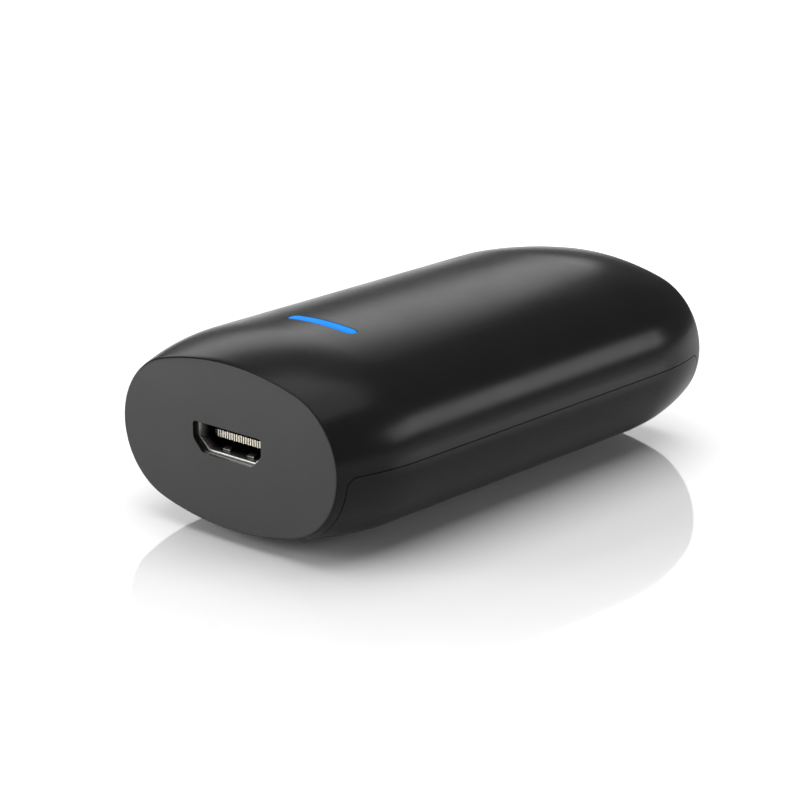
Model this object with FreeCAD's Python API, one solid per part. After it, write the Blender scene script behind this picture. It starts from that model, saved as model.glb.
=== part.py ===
import FreeCAD, Part
import math
import os

from FreeCAD import Vector

# A pocket-sized digital signage player, in millimetres.
# X is the width, Y the length with the video socket's face towards -Y, and Z points up.
# The origin is the middle of the footprint, on the surface that the rubber foot stands on.

# Case: a four-arc oval section, straight in the middle and drawn in towards both flat ends
BODY_WIDTH = 52.4
BODY_HEIGHT = 30.9
BODY_LENGTH = 91.4
ROOF_ANGLE = 16.2
TAPER_LENGTH = 15.5
TAPER_SIDE = 3.05
TAPER_TOP = 2.0
TAPER_STEPS = 3
WALL = 1.8
END_WALL = 1.6
END_EDGE_BEVEL = 0.4

# Parting line between the housing and the cover
SEAM_GAP = 0.15
SEAM_CORNER_RADIUS = 2.0
LIP_CLEARANCE = 0.1
LIP_THICKNESS = 0.9
LIP_HEIGHT = 1.6
LIP_ROOT = 1.5
LIP_END_SPACE = 2.0

# Rubber foot, let into the cover
FOOT_PROUD = 0.3
FOOT_WIDTH = 20.0
FOOT_END_SPACE = 9.7
FOOT_THICKNESS = 1.6
FOOT_CLEARANCE = 0.15
POCKET_FLOOR = 1.5

# Main board
BOARD_THICKNESS = 1.6
BOARD_SIDE_SPACE = 1.2
BOARD_END_SPACE = 1.2
BOARD_SHOULDER = 30.0
BOARD_CORNER = 2.0

# Cover screws, and the pillars and ribs round the board
NEAR_SCREW_SPACE = 3.6
FAR_SCREW_SPACE = 5.9
COVER_SCREW_LENGTH = 17.0
SCREW_DIAMETER = 2.0
SCREW_HEAD_DIAMETER = 4.0
SCREW_HEAD_HEIGHT = 1.4
SCREW_SLOT_WIDTH = 0.6
SCREW_SLOT_LENGTH = 2.4
SCREW_SLOT_DEPTH = 0.7
BORE_CLEARANCE = 0.1
HOLE_CLEARANCE = 0.3
BORE_SPARE = 1.0
PILLAR_DIAMETER = 4.4
COUNTERBORE_DEPTH = 2.2
COVER_BOSS_WALL = 1.3
RIB_THICKNESS = 1.0
RIB_LENGTH = 6.0
RIB_DROP = 4.0
COVER_RIB_INSET = 1.4
COVER_RIB_HEIGHT = 3.0
COVER_RIB_END_SPACE = 1.0

# Video socket: a D-shaped shell with its wide side up
SOCKET_RISE = 0.6
SOCKET_CENTRE_HEIGHT = 3.0
SOCKET_WIDTH = 14.0
SOCKET_HEIGHT = 4.55
SOCKET_SIDE_HEIGHT = 2.85
SOCKET_FLOOR_WIDTH = 9.95
SOCKET_SHEET = 0.35
SOCKET_CORNER = 0.35
SOCKET_LENGTH = 11.4
SOCKET_CAVITY = 7.9
SOCKET_CUTOUT_SPACE = 0.45
SOCKET_CUTOUT_CORNER = 0.5
CONNECTOR_CLEARANCE = 0.1
TONGUE_SETBACK = 1.15
TONGUE_RISE = 0.15
TONGUE_WIDTH = 11.0
TONGUE_THICKNESS = 0.9
TONGUE_EDGE = 0.2
INSERT_CLEARANCE = 0.05
CONTACT_PITCH = 1.0
CONTACT_WIDTH = 0.3
CONTACT_THICKNESS = 0.15
CONTACT_HOOK = 0.62
CONTACT_FOOT = 0.9
CONTACT_CROWN = 0.14
CONTACT_CROWN_START = 1.5
CONTACT_CROWN_LENGTH = 0.9
UPPER_CONTACTS = 10
LOWER_CONTACTS = 9
SPRING_X = 2.6
SPRING_WIDTH = 1.5
SPRING_WINDOW = 0.35
SPRING_START = 0.8
SPRING_LENGTH = 4.2
SPRING_RISE = 0.6
SPRING_CREST = 1.0
SOCKET_LEG_WIDTH = 1.6
SOCKET_LEG_DEPTH = 2.4
SOCKET_LEG_NEAR = 2.6
SOCKET_LEG_FAR = 9.2

# Network socket, sunk into a notch of the board so that it sits in the middle of its face
JACK_WIDTH = 16.0
JACK_HEIGHT = 13.4
JACK_LENGTH = 18.6
JACK_SHEET = 0.3
JACK_CORNER = 0.5
JACK_CUTOUT_SPACE = 0.25
JACK_NOTCH_SPACE = 0.3
JACK_PORT_WIDTH = 11.8
JACK_PORT_HEIGHT = 6.8
JACK_PORT_BOTTOM = -2.6
JACK_PORT_DEPTH = 12.6
JACK_LATCH_WIDTH = 6.4
JACK_LATCH_HEIGHT = 1.7
JACK_KEY_WIDTH = 3.4
JACK_KEY_HEIGHT = 1.1
JACK_WING_WIDTH = 1.5
JACK_WING_LENGTH = 2.4
JACK_WING_NEAR = 3.5
JACK_WING_FAR = 13.5
WIRE_COUNT = 8
WIRE_PITCH = 1.02
WIRE_WIDTH = 0.35
WIRE_THICKNESS = 0.35
WIRE_START = 1.5
WIRE_REACH = 9.4
WIRE_DROP = 3.6
WIRE_FOOT = 1.1
COMB_SPACE = 0.1

# Status light: a clear bar flush with the top of the case, lit from the board
LIGHT_SETBACK = 21.6
LIGHT_LENGTH = 14.0
LIGHT_WIDTH = 2.3
LIGHT_CLEARANCE = 0.1
LIGHT_FLANGE_SPACE = 0.8
LIGHT_FLANGE_THICKNESS = 0.8
LIGHT_BLADE_LENGTH = 11.0
LIGHT_BLADE_WIDTH = 1.5
LIGHT_SLEEVE_SPACE = 0.3
LED_COUNT = 3
LED_PITCH = 3.8
LED_LENGTH = 1.6
LED_WIDTH = 0.8
LED_HEIGHT = 0.6
LED_GAP = 0.3

# Reset switch behind a pinhole beside the network socket
RESET_SPACE = 4.3
RESET_HOLE_DIAMETER = 1.7
RESET_TRAVEL = 0.25
RESET_WIDTH = 4.4
RESET_DEPTH = 3.2
RESET_HEIGHT = 2.4
RESET_SHELL = 0.4
RESET_PLUNGER_DIAMETER = 1.2
RESET_PLUNGER_CLEARANCE = 0.1
RESET_PLUNGER_GAP = 0.3
RESET_COLLAR_DIAMETER = 1.5
RESET_SPRING_LENGTH = 3.0
RESET_SPRING_CREST = 0.9
RESET_SPRING_WIDTH = 1.1
RESET_SPRING_SHEET = 0.1
RESET_SPRING_SPARE = 0.15

# Processor and its cooling
CHIP_WIDTH = 13.0
CHIP_HEIGHT = 1.0
CHIP_LID_MARGIN = 1.2
CHIP_BASE_HEIGHT = 0.4
THERMAL_PAD_WIDTH = 12.0
THERMAL_PAD_THICKNESS = 0.8
SINK_SIDE_SPACE = 0.75
SINK_END_SPACE = 1.0
SINK_BASE = 1.6
SINK_FIN_HEIGHT = 6.0
SINK_FIN_THICKNESS = 0.9
SINK_FIN_COUNT = 9
SINK_POST_WIDTH = 3.0
SINK_PIN_WIDTH = 1.0
SINK_PIN_REACH = 0.8

# Other parts on the board: width along X, length along Y, height
CHIP_BEVEL_SHARE = 0.2
SIDE_PART_SPACE = 0.75
MEMORY_SIZE = (7.5, 11.0, 1.0)
MEMORY_SHIFT = -3.3
PHY_SIZE = (6.0, 6.0, 0.9)
CRYSTAL_SIZE = (3.2, 2.5, 0.8)
CRYSTAL_CORNER = 0.4
TIMING_SHIFT = 6.0
STORAGE_SIZE = (11.5, 13.0, 1.0)
STORAGE_SIDE_SPACE = 1.0
STORAGE_SHIFT = 3.0
SHIELD_CAN_SIZE = (9.5, 13.0, 2.6)
SHIELD_CAN_SPACE = 0.1
SHIELD_CAN_SHEET = 0.25
SHIELD_CAN_BEVEL = 0.5
REGULATOR_SIZE = (5.0, 5.0, 0.9)
REGULATOR_COIL_SIZE = (3.0, 3.0, 1.6)
REGULATOR_OFFSET = 3.0
COIL_OFFSET = -3.4
COIL_GAP = 1.5
TALL_PART_SPACE = 2.8
ISOLATOR_SIZE = (13.0, 10.0, 5.6)
ISOLATOR_SHIFT = -5.0
ISOLATOR_PINS = 6
ISOLATOR_PIN_WIDTH = 0.5
ISOLATOR_PIN_LENGTH = 1.0
ISOLATOR_PIN_THICKNESS = 0.25
TRANSFORMER_SHIFT = -4.5
TRANSFORMER_WIDTH = 13.0
TRANSFORMER_LENGTH = 11.0
TRANSFORMER_HEIGHT = 9.0
TRANSFORMER_LEG = 2.4
TRANSFORMER_YOKE = 1.8
TRANSFORMER_DEPTH = 6.0
TRANSFORMER_BASE = 1.2
WINDING_SPACE = 0.2
WINDING_CORNER = 1.2
INDUCTOR_SIZE = 6.6
INDUCTOR_HEIGHT = 4.2
INDUCTOR_CORNER = 1.4
INDUCTOR_SIDE_SPACE = 3.7
INDUCTOR_GAP = 0.4
INDUCTOR_CORE_DIAMETER = 4.4
INDUCTOR_CORE_RISE = 0.4
LARGE_CAPACITOR = (8.0, 9.0)
LARGE_CAPACITOR_SHIFT = 2.2
SMALL_CAPACITOR = (6.3, 7.7)
SMALL_CAPACITOR_SHIFT = 5.8
CAPACITOR_SIDE_SPACE = 0.35
CAPACITOR_BASE_HEIGHT = 1.0
CAPACITOR_BASE_SPACE = 0.3
CAPACITOR_BASE_CUT = 1.2
HUNG_PART_SPACE = 5.0
DIODE_SIZE = (4.4, 2.7, 2.0)
DIODE_COUNT = 4
DIODE_PITCH = 4.5
DIODE_SHIFT = 0.5
DRIVER_SIZE = (4.0, 5.0, 1.5)
DRIVER_COUNT = 3
DRIVER_PITCH = 6.5
DRIVER_SHIFT = -2.5
CERAMIC_SIZE = (1.0, 0.5, 0.5)
CERAMIC_PITCH = 2.0
CERAMIC_COLUMNS = 5
CERAMIC_ROWS = 5
RESISTOR_SIZE = (1.0, 0.5, 0.35)
RESISTOR_PITCH = 1.4
RESISTOR_COUNT = 6
RESISTOR_SIDE_SPACE = 2.4
RESISTOR_SETBACK = 7.4

# Cuts run this far past the face that they open
CUT_SPARE = 1.0

# Places worked out from the sizes above
SECTION_Z = BODY_HEIGHT / 2 + FOOT_PROUD
HALF_LENGTH = BODY_LENGTH / 2
STRAIGHT_HALF = HALF_LENGTH - TAPER_LENGTH
INNER_END = HALF_LENGTH - END_WALL
SEAM_Z = SECTION_Z
FOOT_LENGTH = BODY_LENGTH - 2 * FOOT_END_SPACE
COVER_RIB_X = FOOT_WIDTH / 2 - COVER_RIB_INSET
COVER_RIB_LENGTH = FOOT_LENGTH - 2 * COVER_RIB_END_SPACE
SOCKET_Z = SECTION_Z + SOCKET_RISE
SOCKET_FRONT = -(INNER_END - CONNECTOR_CLEARANCE)
BOARD_TOP = SOCKET_Z - SOCKET_CENTRE_HEIGHT
BOARD_BOTTOM = BOARD_TOP - BOARD_THICKNESS
BOARD_END = INNER_END - BOARD_END_SPACE
JACK_FRONT = INNER_END - CONNECTOR_CLEARANCE
JACK_REAR = JACK_FRONT - JACK_LENGTH
JACK_Z = SECTION_Z
TONGUE_Z = SOCKET_Z + TONGUE_RISE
TONGUE_FRONT = SOCKET_FRONT + TONGUE_SETBACK
TONGUE_TOP = TONGUE_Z + TONGUE_THICKNESS / 2
TONGUE_BOTTOM = TONGUE_Z - TONGUE_THICKNESS / 2
INSERT_FRONT = SOCKET_FRONT + SOCKET_CAVITY
INSERT_REAR = SOCKET_FRONT + SOCKET_LENGTH
POCKET_Z = FOOT_THICKNESS
BORE_DIAMETER = SCREW_DIAMETER + BORE_CLEARANCE
HOLE_DIAMETER = SCREW_DIAMETER + HOLE_CLEARANCE
COVER_HEAD_Z = POCKET_Z + COUNTERBORE_DEPTH
COVER_BOSS_DIAMETER = SCREW_HEAD_DIAMETER + HOLE_CLEARANCE + 2 * COVER_BOSS_WALL
COVER_SCREW_NEAR_Y = INSERT_REAR + NEAR_SCREW_SPACE
COVER_SCREW_FAR_Y = JACK_REAR - FAR_SCREW_SPACE
LIGHT_Y = LIGHT_SETBACK - HALF_LENGTH
RESET_X = JACK_WIDTH / 2 + RESET_SPACE + RESET_WIDTH / 2
SINK_Z = BOARD_TOP + CHIP_HEIGHT + THERMAL_PAD_THICKNESS
FAR_OUT = BODY_LENGTH + BODY_WIDTH

# Places on the board, counted from the two sockets and the screws between them
SHIELD_CAN_Y = INSERT_REAR + SHIELD_CAN_SPACE + SHIELD_CAN_SIZE[1] / 2
STORAGE_X = COVER_BOSS_DIAMETER / 2 + STORAGE_SIDE_SPACE + STORAGE_SIZE[0] / 2
STORAGE_Y = COVER_SCREW_NEAR_Y + STORAGE_SHIFT
ISOLATOR_X = PILLAR_DIAMETER / 2 + TALL_PART_SPACE + ISOLATOR_SIZE[0] / 2
ISOLATOR_Y = COVER_SCREW_FAR_Y + ISOLATOR_SHIFT
TRANSFORMER_X = -(PILLAR_DIAMETER / 2 + TALL_PART_SPACE + TRANSFORMER_WIDTH / 2)
TRANSFORMER_Y = COVER_SCREW_FAR_Y + TRANSFORMER_SHIFT
INDUCTOR_X = JACK_WIDTH / 2 + INDUCTOR_SIDE_SPACE + INDUCTOR_SIZE / 2
INDUCTOR_Y = ISOLATOR_Y + ISOLATOR_SIZE[1] / 2 + ISOLATOR_PIN_LENGTH + INDUCTOR_GAP + INDUCTOR_SIZE / 2
HUNG_X = JACK_WIDTH / 2 + HUNG_PART_SPACE
DIODE_Y = COVER_SCREW_FAR_Y + DIODE_SHIFT
DRIVER_Y = COVER_SCREW_FAR_Y + DRIVER_SHIFT
RESISTOR_X = SOCKET_WIDTH / 2 + RESISTOR_SIDE_SPACE
RESISTOR_Y = SOCKET_FRONT + RESISTOR_SETBACK

# The processor and its heat sink take the room between those
COOLED_NEAR_Y = SHIELD_CAN_Y + SHIELD_CAN_SIZE[1] / 2 + SINK_END_SPACE
COOLED_FAR_Y = ISOLATOR_Y - ISOLATOR_SIZE[1] / 2 - ISOLATOR_PIN_LENGTH - SINK_END_SPACE
SINK_LENGTH = COOLED_FAR_Y - COOLED_NEAR_Y
CHIP_Y = (COOLED_NEAR_Y + COOLED_FAR_Y) / 2
MEMORY_Y = CHIP_Y + MEMORY_SHIFT
TIMING_Y = CHIP_Y + TIMING_SHIFT


# Shared shapes

def box(width, length, height, x, y, z):
    """A block centred on x and y that stands on z."""
    return Part.makeBox(width, length, height, Vector(x - width / 2, y - length / 2, z))


def cylinder(diameter, height, x, y, z):
    """An upright cylinder that stands on z."""
    return Part.makeCylinder(diameter / 2, height, Vector(x, y, z))


def joined(shapes):
    """One solid from shapes that touch or overlap."""
    first, *rest = shapes
    return first.fuse(rest)


def merged(shapes):
    """One solid from shapes that touch or overlap, with faces in one plane made one."""
    return joined(shapes).removeSplitter()


def group(shapes):
    """Separate solids kept together."""
    return Part.makeCompound(shapes)


def upright_edges(block):
    """The edges of a block that run straight up."""
    return [e for e in block.Edges if e.BoundBox.ZLength > block.BoundBox.ZLength / 2]


def upper_edges(block):
    """The edges of a block that aren't in its lower face."""
    return [e for e in block.Edges if e.BoundBox.ZMax > block.BoundBox.Center.z]


def stadium(length, width, height, x, y, z):
    """An upright block whose two ends along X are half round."""
    straight = box(length - width, width, height, x, y, z)
    ends = [cylinder(width, height, x + side * (length - width) / 2, y, z) for side in (-1, 1)]
    return merged([straight] + ends)


def side_profile(points, width, x):
    """A YZ outline given by its corners, extruded to a width centred on x."""
    corners = [Vector(x - width / 2, y, z) for y, z in points]
    face = Part.Face(Part.makePolygon(corners + corners[:1]))
    return face.extrude(Vector(width, 0, 0))


# Case form

def oval(y, inset):
    """Half width, half height, side radius and roof radius of the section at a station.

    The taper grows with the square of the distance from the straight part. The roof's arc turns
    by the same angle at every station and is tangent to the side's, so all the sections and
    those drawn in from them stay parallel.
    """
    along = max(abs(y) - STRAIGHT_HALF, 0) / TAPER_LENGTH
    half_width = BODY_WIDTH / 2 - TAPER_SIDE * along ** 2
    half_height = BODY_HEIGHT / 2 - TAPER_TOP * along ** 2
    angle = math.radians(ROOF_ANGLE)
    spread = (half_width - half_height) / (math.cos(angle) + math.sin(angle) - 1)
    side = half_width - spread * math.sin(angle)
    return half_width - inset, half_height - inset, side - inset, side + spread - inset


def oval_joint(y, inset):
    """Where the roof's arc meets the side's, as a distance across and a height over the middle."""
    _, half_height, _, roof = oval(y, inset)
    angle = math.radians(ROOF_ANGLE)
    return roof * math.sin(angle), half_height - roof * (1 - math.cos(angle))


def oval_wire(y, inset):
    """The section's outline at a station."""
    half_width, half_height = oval(y, inset)[:2]
    x, z = oval_joint(y, inset)
    turns = [
        ((-x, z), (0, half_height), (x, z)),
        ((x, z), (half_width, 0), (x, -z)),
        ((x, -z), (0, -half_height), (-x, -z)),
        ((-x, -z), (-half_width, 0), (-x, z)),
    ]
    arcs = [Part.Arc(*[Vector(across, y, SECTION_Z + up) for across, up in turn]) for turn in turns]
    return Part.Wire([arc.toShape() for arc in arcs])


def case_form(inset, rim):
    """The case's form drawn in by inset as far as the end walls, and then through the rim's sections.

    One section stands where the parting line turns down.
    """
    reach = INNER_END - SEAM_CORNER_RADIUS - STRAIGHT_HALF
    sections = [(STRAIGHT_HALF + reach * i / TAPER_STEPS, inset) for i in range(TAPER_STEPS + 1)]
    sections += [(INNER_END, inset)] + rim
    solids = [Part.Face(oval_wire(-STRAIGHT_HALF, inset)).extrude(Vector(0, 2 * STRAIGHT_HALF, 0))]
    for side in (-1, 1):
        solids.append(Part.makeLoft([oval_wire(side * y, drawn) for y, drawn in sections], True, True))
    return joined(solids)


def outer_form():
    """The case's outer form, bevelled round each flat end."""
    return case_form(0, [(HALF_LENGTH - END_EDGE_BEVEL, 0), (HALF_LENGTH, END_EDGE_BEVEL)])


def inner_form(inset):
    """A form inside the case's wall, between the end walls."""
    return case_form(inset, [])


def case_half_width(y, z, inset):
    """How far the case, drawn in by inset, reaches to each side at a station and a height."""
    half_width, _, side, _ = oval(y, inset)
    return half_width - side + math.sqrt(side ** 2 - (z - SECTION_Z) ** 2)


def ceiling(x, inset):
    """Height of the straight part's roof, drawn in by inset, at a place across the width."""
    _, half_height, _, roof = oval(0, inset)
    return SECTION_Z + half_height - roof + math.sqrt(roof ** 2 - x ** 2)


def cover_zone(gap):
    """The part of the case below the parting line, whose upper corners are rounded, less a gap."""
    length = 2 * (INNER_END - gap)
    top = SEAM_Z - gap
    zone = box(FAR_OUT, length, FAR_OUT, 0, 0, top - FAR_OUT)
    corners = [e for e in upper_edges(zone) if e.BoundBox.XLength > FAR_OUT / 2]
    return zone.makeFillet(SEAM_CORNER_RADIUS - gap, corners)


# Video socket

def socket_outline(grow, corner):
    """The D-shaped opening's outline in XZ, grown by a distance and rounded, as a wire at Y = 0."""
    top = SOCKET_Z + SOCKET_HEIGHT / 2
    floor = SOCKET_Z - SOCKET_HEIGHT / 2
    shoulder = top - SOCKET_SIDE_HEIGHT
    half, half_floor = SOCKET_WIDTH / 2, SOCKET_FLOOR_WIDTH / 2
    right = [(half_floor, floor), (half, shoulder), (half, top)]
    outline = [(-x, z) for x, z in reversed(right)] + right
    corners = [Vector(x, 0, z) for x, z in outline]
    sharp = Part.makePolygon(corners + corners[:1])
    return sharp.makeOffset2D(grow - corner, 2).makeOffset2D(corner, 0)


def socket_prism(grow, corner, start, end):
    """The socket's outline as a solid between two stations."""
    face = Part.Face(socket_outline(grow, corner))
    face.translate(Vector(0, start, 0))
    return face.extrude(Vector(0, end - start, 0))


def socket_spring(x):
    """A leaf spring pressed up from the shell's floor, with a curled tip."""
    floor = SOCKET_Z - SOCKET_HEIGHT / 2
    tip = SOCKET_FRONT + SPRING_START
    crest = tip + SPRING_CREST
    root = tip + SPRING_LENGTH
    low, high = floor - SOCKET_SHEET, floor + SPRING_RISE
    points = [
        (root, low), (root, floor), (crest, high), (tip, floor + SOCKET_SHEET / 2),
        (tip, floor - SOCKET_SHEET / 2), (crest, high - SOCKET_SHEET),
    ]
    return side_profile(points, SPRING_WIDTH, x)


def leg_places():
    """Places of the shell's four solder legs."""
    x = (SOCKET_WIDTH + SOCKET_SHEET) / 2
    stations = (SOCKET_FRONT + SOCKET_LEG_NEAR, SOCKET_FRONT + SOCKET_LEG_FAR)
    return [(side * x, y) for side in (-1, 1) for y in stations]


def hdmi_shell():
    """Folded steel shell with floor springs and legs that go through the board."""
    shell = socket_prism(SOCKET_SHEET, SOCKET_CORNER + SOCKET_SHEET, SOCKET_FRONT, INSERT_REAR)
    shell = shell.cut(socket_prism(0, SOCKET_CORNER, SOCKET_FRONT - CUT_SPARE, INSERT_REAR + CUT_SPARE))
    floor = SOCKET_Z - SOCKET_HEIGHT / 2
    window_length = SPRING_LENGTH + SPRING_WINDOW
    window_y = SOCKET_FRONT + SPRING_START - SPRING_WINDOW + window_length / 2
    shoulder = SOCKET_Z + SOCKET_HEIGHT / 2 - SOCKET_SIDE_HEIGHT
    leg_height = shoulder - (BOARD_TOP - SOCKET_LEG_DEPTH)
    window_width = SPRING_WIDTH + 2 * SPRING_WINDOW
    window_z = floor - SOCKET_SHEET * 3 / 2
    windows = [
        box(window_width, window_length, 2 * SOCKET_SHEET, side * SPRING_X, window_y, window_z)
        for side in (-1, 1)
    ]
    springs = [socket_spring(side * SPRING_X) for side in (-1, 1)]
    legs = [
        box(SOCKET_SHEET, SOCKET_LEG_WIDTH, leg_height, x, y, shoulder - leg_height)
        for x, y in leg_places()
    ]
    return joined([shell.cut(windows)] + springs + legs)


def contact_row(count):
    """Places across the width of one row of contacts."""
    return [(i - (count - 1) / 2) * CONTACT_PITCH for i in range(count)]


def upper_contact(x):
    """A contact on top of the tongue, hooked over its front and led down to the board behind."""
    thin, front, rear = CONTACT_THICKNESS, TONGUE_FRONT, INSERT_REAR
    crown = front + CONTACT_CROWN_START
    outer = TONGUE_TOP + thin
    crown_end = crown + CONTACT_CROWN_LENGTH
    hook = TONGUE_TOP - CONTACT_HOOK
    points = [
        (front, hook), (front - thin, hook), (front - thin, outer), (crown, outer),
        (crown + thin, outer + CONTACT_CROWN), (crown_end - thin, outer + CONTACT_CROWN), (crown_end, outer),
        (rear + thin, outer), (rear + thin, BOARD_TOP + thin), (rear + CONTACT_FOOT, BOARD_TOP + thin),
        (rear + CONTACT_FOOT, BOARD_TOP), (rear, BOARD_TOP), (rear, TONGUE_TOP), (front, TONGUE_TOP),
    ]
    return side_profile(points, CONTACT_WIDTH, x)


def lower_contact(x):
    """A contact under the tongue, between two of the upper row."""
    thin, front, rear = CONTACT_THICKNESS, TONGUE_FRONT, INSERT_REAR
    points = [
        (front, TONGUE_BOTTOM + CONTACT_HOOK), (front - thin, TONGUE_BOTTOM + CONTACT_HOOK),
        (front - thin, TONGUE_BOTTOM - thin), (rear, TONGUE_BOTTOM - thin), (rear, BOARD_TOP),
        (rear + CONTACT_FOOT, BOARD_TOP), (rear + CONTACT_FOOT, BOARD_TOP + thin),
        (rear + thin, BOARD_TOP + thin), (rear + thin, TONGUE_BOTTOM), (front, TONGUE_BOTTOM),
    ]
    return side_profile(points, CONTACT_WIDTH, x)


def hdmi_contacts():
    """Nineteen contacts in two staggered rows."""
    upper = [upper_contact(x) for x in contact_row(UPPER_CONTACTS)]
    lower = [lower_contact(x) for x in contact_row(LOWER_CONTACTS)]
    return group(upper + lower)


def hdmi_insulator():
    """Moulded block that closes the shell's rear, with the tongue that carries the contacts."""
    block = socket_prism(-INSERT_CLEARANCE, SOCKET_CORNER, INSERT_FRONT, INSERT_REAR)
    tongue_length = INSERT_FRONT - TONGUE_FRONT
    tongue_y = TONGUE_FRONT + tongue_length / 2
    tongue = box(TONGUE_WIDTH, tongue_length, TONGUE_THICKNESS, 0, tongue_y, TONGUE_BOTTOM)
    front = [e for e in tongue.Edges if e.CenterOfMass.y < TONGUE_FRONT + TONGUE_EDGE]
    ends = [e for e in front if e.BoundBox.ZLength > TONGUE_EDGE]
    tongue = tongue.makeChamfer(TONGUE_EDGE, ends)
    slot_height = CONTACT_THICKNESS + 2 * INSERT_CLEARANCE
    slot_width = UPPER_CONTACTS * CONTACT_PITCH
    slots = [
        box(slot_width, SOCKET_LENGTH, slot_height, 0, INSERT_FRONT + SOCKET_LENGTH / 2, z)
        for z in (TONGUE_TOP, TONGUE_BOTTOM - slot_height)
    ]
    return joined([block, tongue]).cut(slots)


# Network socket

def jack_y(depth):
    """A station inside the network socket, counted from its front."""
    return JACK_FRONT - depth


def jack_block(grow, depth_from, depth_to):
    """The network socket's outer block, grown all round, between two depths."""
    return box(JACK_WIDTH + 2 * grow, depth_to - depth_from, JACK_HEIGHT + 2 * grow,
               0, jack_y((depth_from + depth_to) / 2), JACK_Z - JACK_HEIGHT / 2 - grow)


def long_edges(shape):
    """The edges of a block that run along its whole length in Y."""
    return [e for e in shape.Edges if e.BoundBox.YLength > shape.BoundBox.YLength - JACK_SHEET]


def wing_places():
    """Places of the four wings that carry the network socket on the board."""
    x = JACK_WIDTH / 2 + JACK_WING_WIDTH / 2
    return [(side * x, jack_y(depth)) for side in (-1, 1) for depth in (JACK_WING_NEAR, JACK_WING_FAR)]


def ethernet_jack_shield():
    """Folded sheet round the network socket, open in front, with wings that rest on the board."""
    outer = jack_block(0, 0, JACK_LENGTH)
    outer = outer.makeFillet(JACK_CORNER, long_edges(outer))
    inner = jack_block(-JACK_SHEET, -CUT_SPARE, JACK_LENGTH - JACK_SHEET)
    wings = [
        box(JACK_WING_WIDTH + JACK_SHEET, JACK_WING_LENGTH, JACK_SHEET,
            x - math.copysign(JACK_SHEET / 2, x), y, BOARD_TOP)
        for x, y in wing_places()
    ]
    window_top = wire_level() + WIRE_THICKNESS + COMB_SPACE
    window_bottom = JACK_Z - JACK_HEIGHT
    window = box(WIRE_COUNT * WIRE_PITCH, CUT_SPARE, window_top - window_bottom, 0, JACK_REAR, window_bottom)
    return joined([outer.cut(inner)] + wings).cut(window)


def wire_level():
    """Height of the underside of the wires' run along the top of the insert."""
    return JACK_Z + JACK_HEIGHT / 2 - JACK_SHEET - COMB_SPACE - WIRE_THICKNESS


def wire_places():
    """Places across the width of the eight wires."""
    return [(i - (WIRE_COUNT - 1) / 2) * WIRE_PITCH for i in range(WIRE_COUNT)]


def ethernet_wire(x):
    """A sprung wire: down behind the insert, along its top, and folded back into the port."""
    level, thick = wire_level(), WIRE_THICKNESS
    front, rear = jack_y(WIRE_START), JACK_REAR
    tip = jack_y(WIRE_REACH)
    points = [
        (rear - WIRE_FOOT, BOARD_TOP), (rear, BOARD_TOP), (rear, level), (front - thick, level - thick / 2),
        (tip, level - WIRE_DROP), (tip, level - WIRE_DROP - thick), (front, level - thick),
        (front, level + thick), (rear - thick, level + thick), (rear - thick, BOARD_TOP + thick),
        (rear - WIRE_FOOT, BOARD_TOP + thick),
    ]
    return side_profile(points, WIRE_WIDTH, x)


def ethernet_contacts():
    """Eight sprung wires side by side."""
    return group([ethernet_wire(x) for x in wire_places()])


def jack_port():
    """The stepped hollow that takes a plug, with the slots for its latch below."""
    bottom = JACK_Z + JACK_PORT_BOTTOM
    depth, y = JACK_PORT_DEPTH, jack_y(JACK_PORT_DEPTH / 2)
    latch_bottom = bottom - JACK_LATCH_HEIGHT
    return joined([
        box(JACK_PORT_WIDTH, depth, JACK_PORT_HEIGHT, 0, y, bottom),
        box(JACK_LATCH_WIDTH, depth, JACK_LATCH_HEIGHT, 0, y, latch_bottom),
        box(JACK_KEY_WIDTH, depth, JACK_KEY_HEIGHT, 0, y, latch_bottom - JACK_KEY_HEIGHT),
    ])


def ethernet_jack_insert():
    """Moulded insert with the port and a comb that keeps the wires apart."""
    skin = JACK_SHEET + INSERT_CLEARANCE
    insert = jack_block(-skin, JACK_SHEET, JACK_LENGTH - skin).cut(jack_port())
    port_top = JACK_Z + JACK_PORT_BOTTOM + JACK_PORT_HEIGHT
    top = JACK_Z + JACK_HEIGHT / 2
    slot = WIRE_WIDTH + 2 * COMB_SPACE
    comb_depth = WIRE_REACH + WIRE_THICKNESS - WIRE_START + 2 * COMB_SPACE
    comb_y = jack_y(WIRE_START - COMB_SPACE + comb_depth / 2)
    groove_length = JACK_LENGTH - WIRE_START
    groove_y = jack_y(WIRE_START + groove_length / 2)
    slots = []
    for x in wire_places():
        slots.append(box(slot, comb_depth, top - port_top, x, comb_y, port_top))
        slots.append(box(slot, groove_length, top, x, groove_y, wire_level() - COMB_SPACE))
    return insert.cut(slots)


# Status light

def light_prism(grow, bottom, top):
    """The status bar's outline, grown all round, between two heights."""
    return stadium(LIGHT_LENGTH + 2 * grow, LIGHT_WIDTH + 2 * grow, top - bottom, 0, LIGHT_Y, bottom)


def light_flange_top():
    """Height of the flange's upper side, just under the roof at the flange's ends."""
    return ceiling(LIGHT_LENGTH / 2 + LIGHT_FLANGE_SPACE, WALL) - LIGHT_CLEARANCE


def status_light_bar():
    """Clear bar flush with the roof, its flange below it, and a blade down to the lamps."""
    top = light_flange_top()
    flange_bottom = top - LIGHT_FLANGE_THICKNESS
    blade_bottom = BOARD_TOP + LED_HEIGHT + LED_GAP
    head = light_prism(0, top, FAR_OUT).common(outer_form())
    flange = light_prism(LIGHT_FLANGE_SPACE, flange_bottom, top)
    blade = box(LIGHT_BLADE_LENGTH, LIGHT_BLADE_WIDTH, flange_bottom - blade_bottom, 0, LIGHT_Y, blade_bottom)
    return joined([head, flange, blade])


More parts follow.
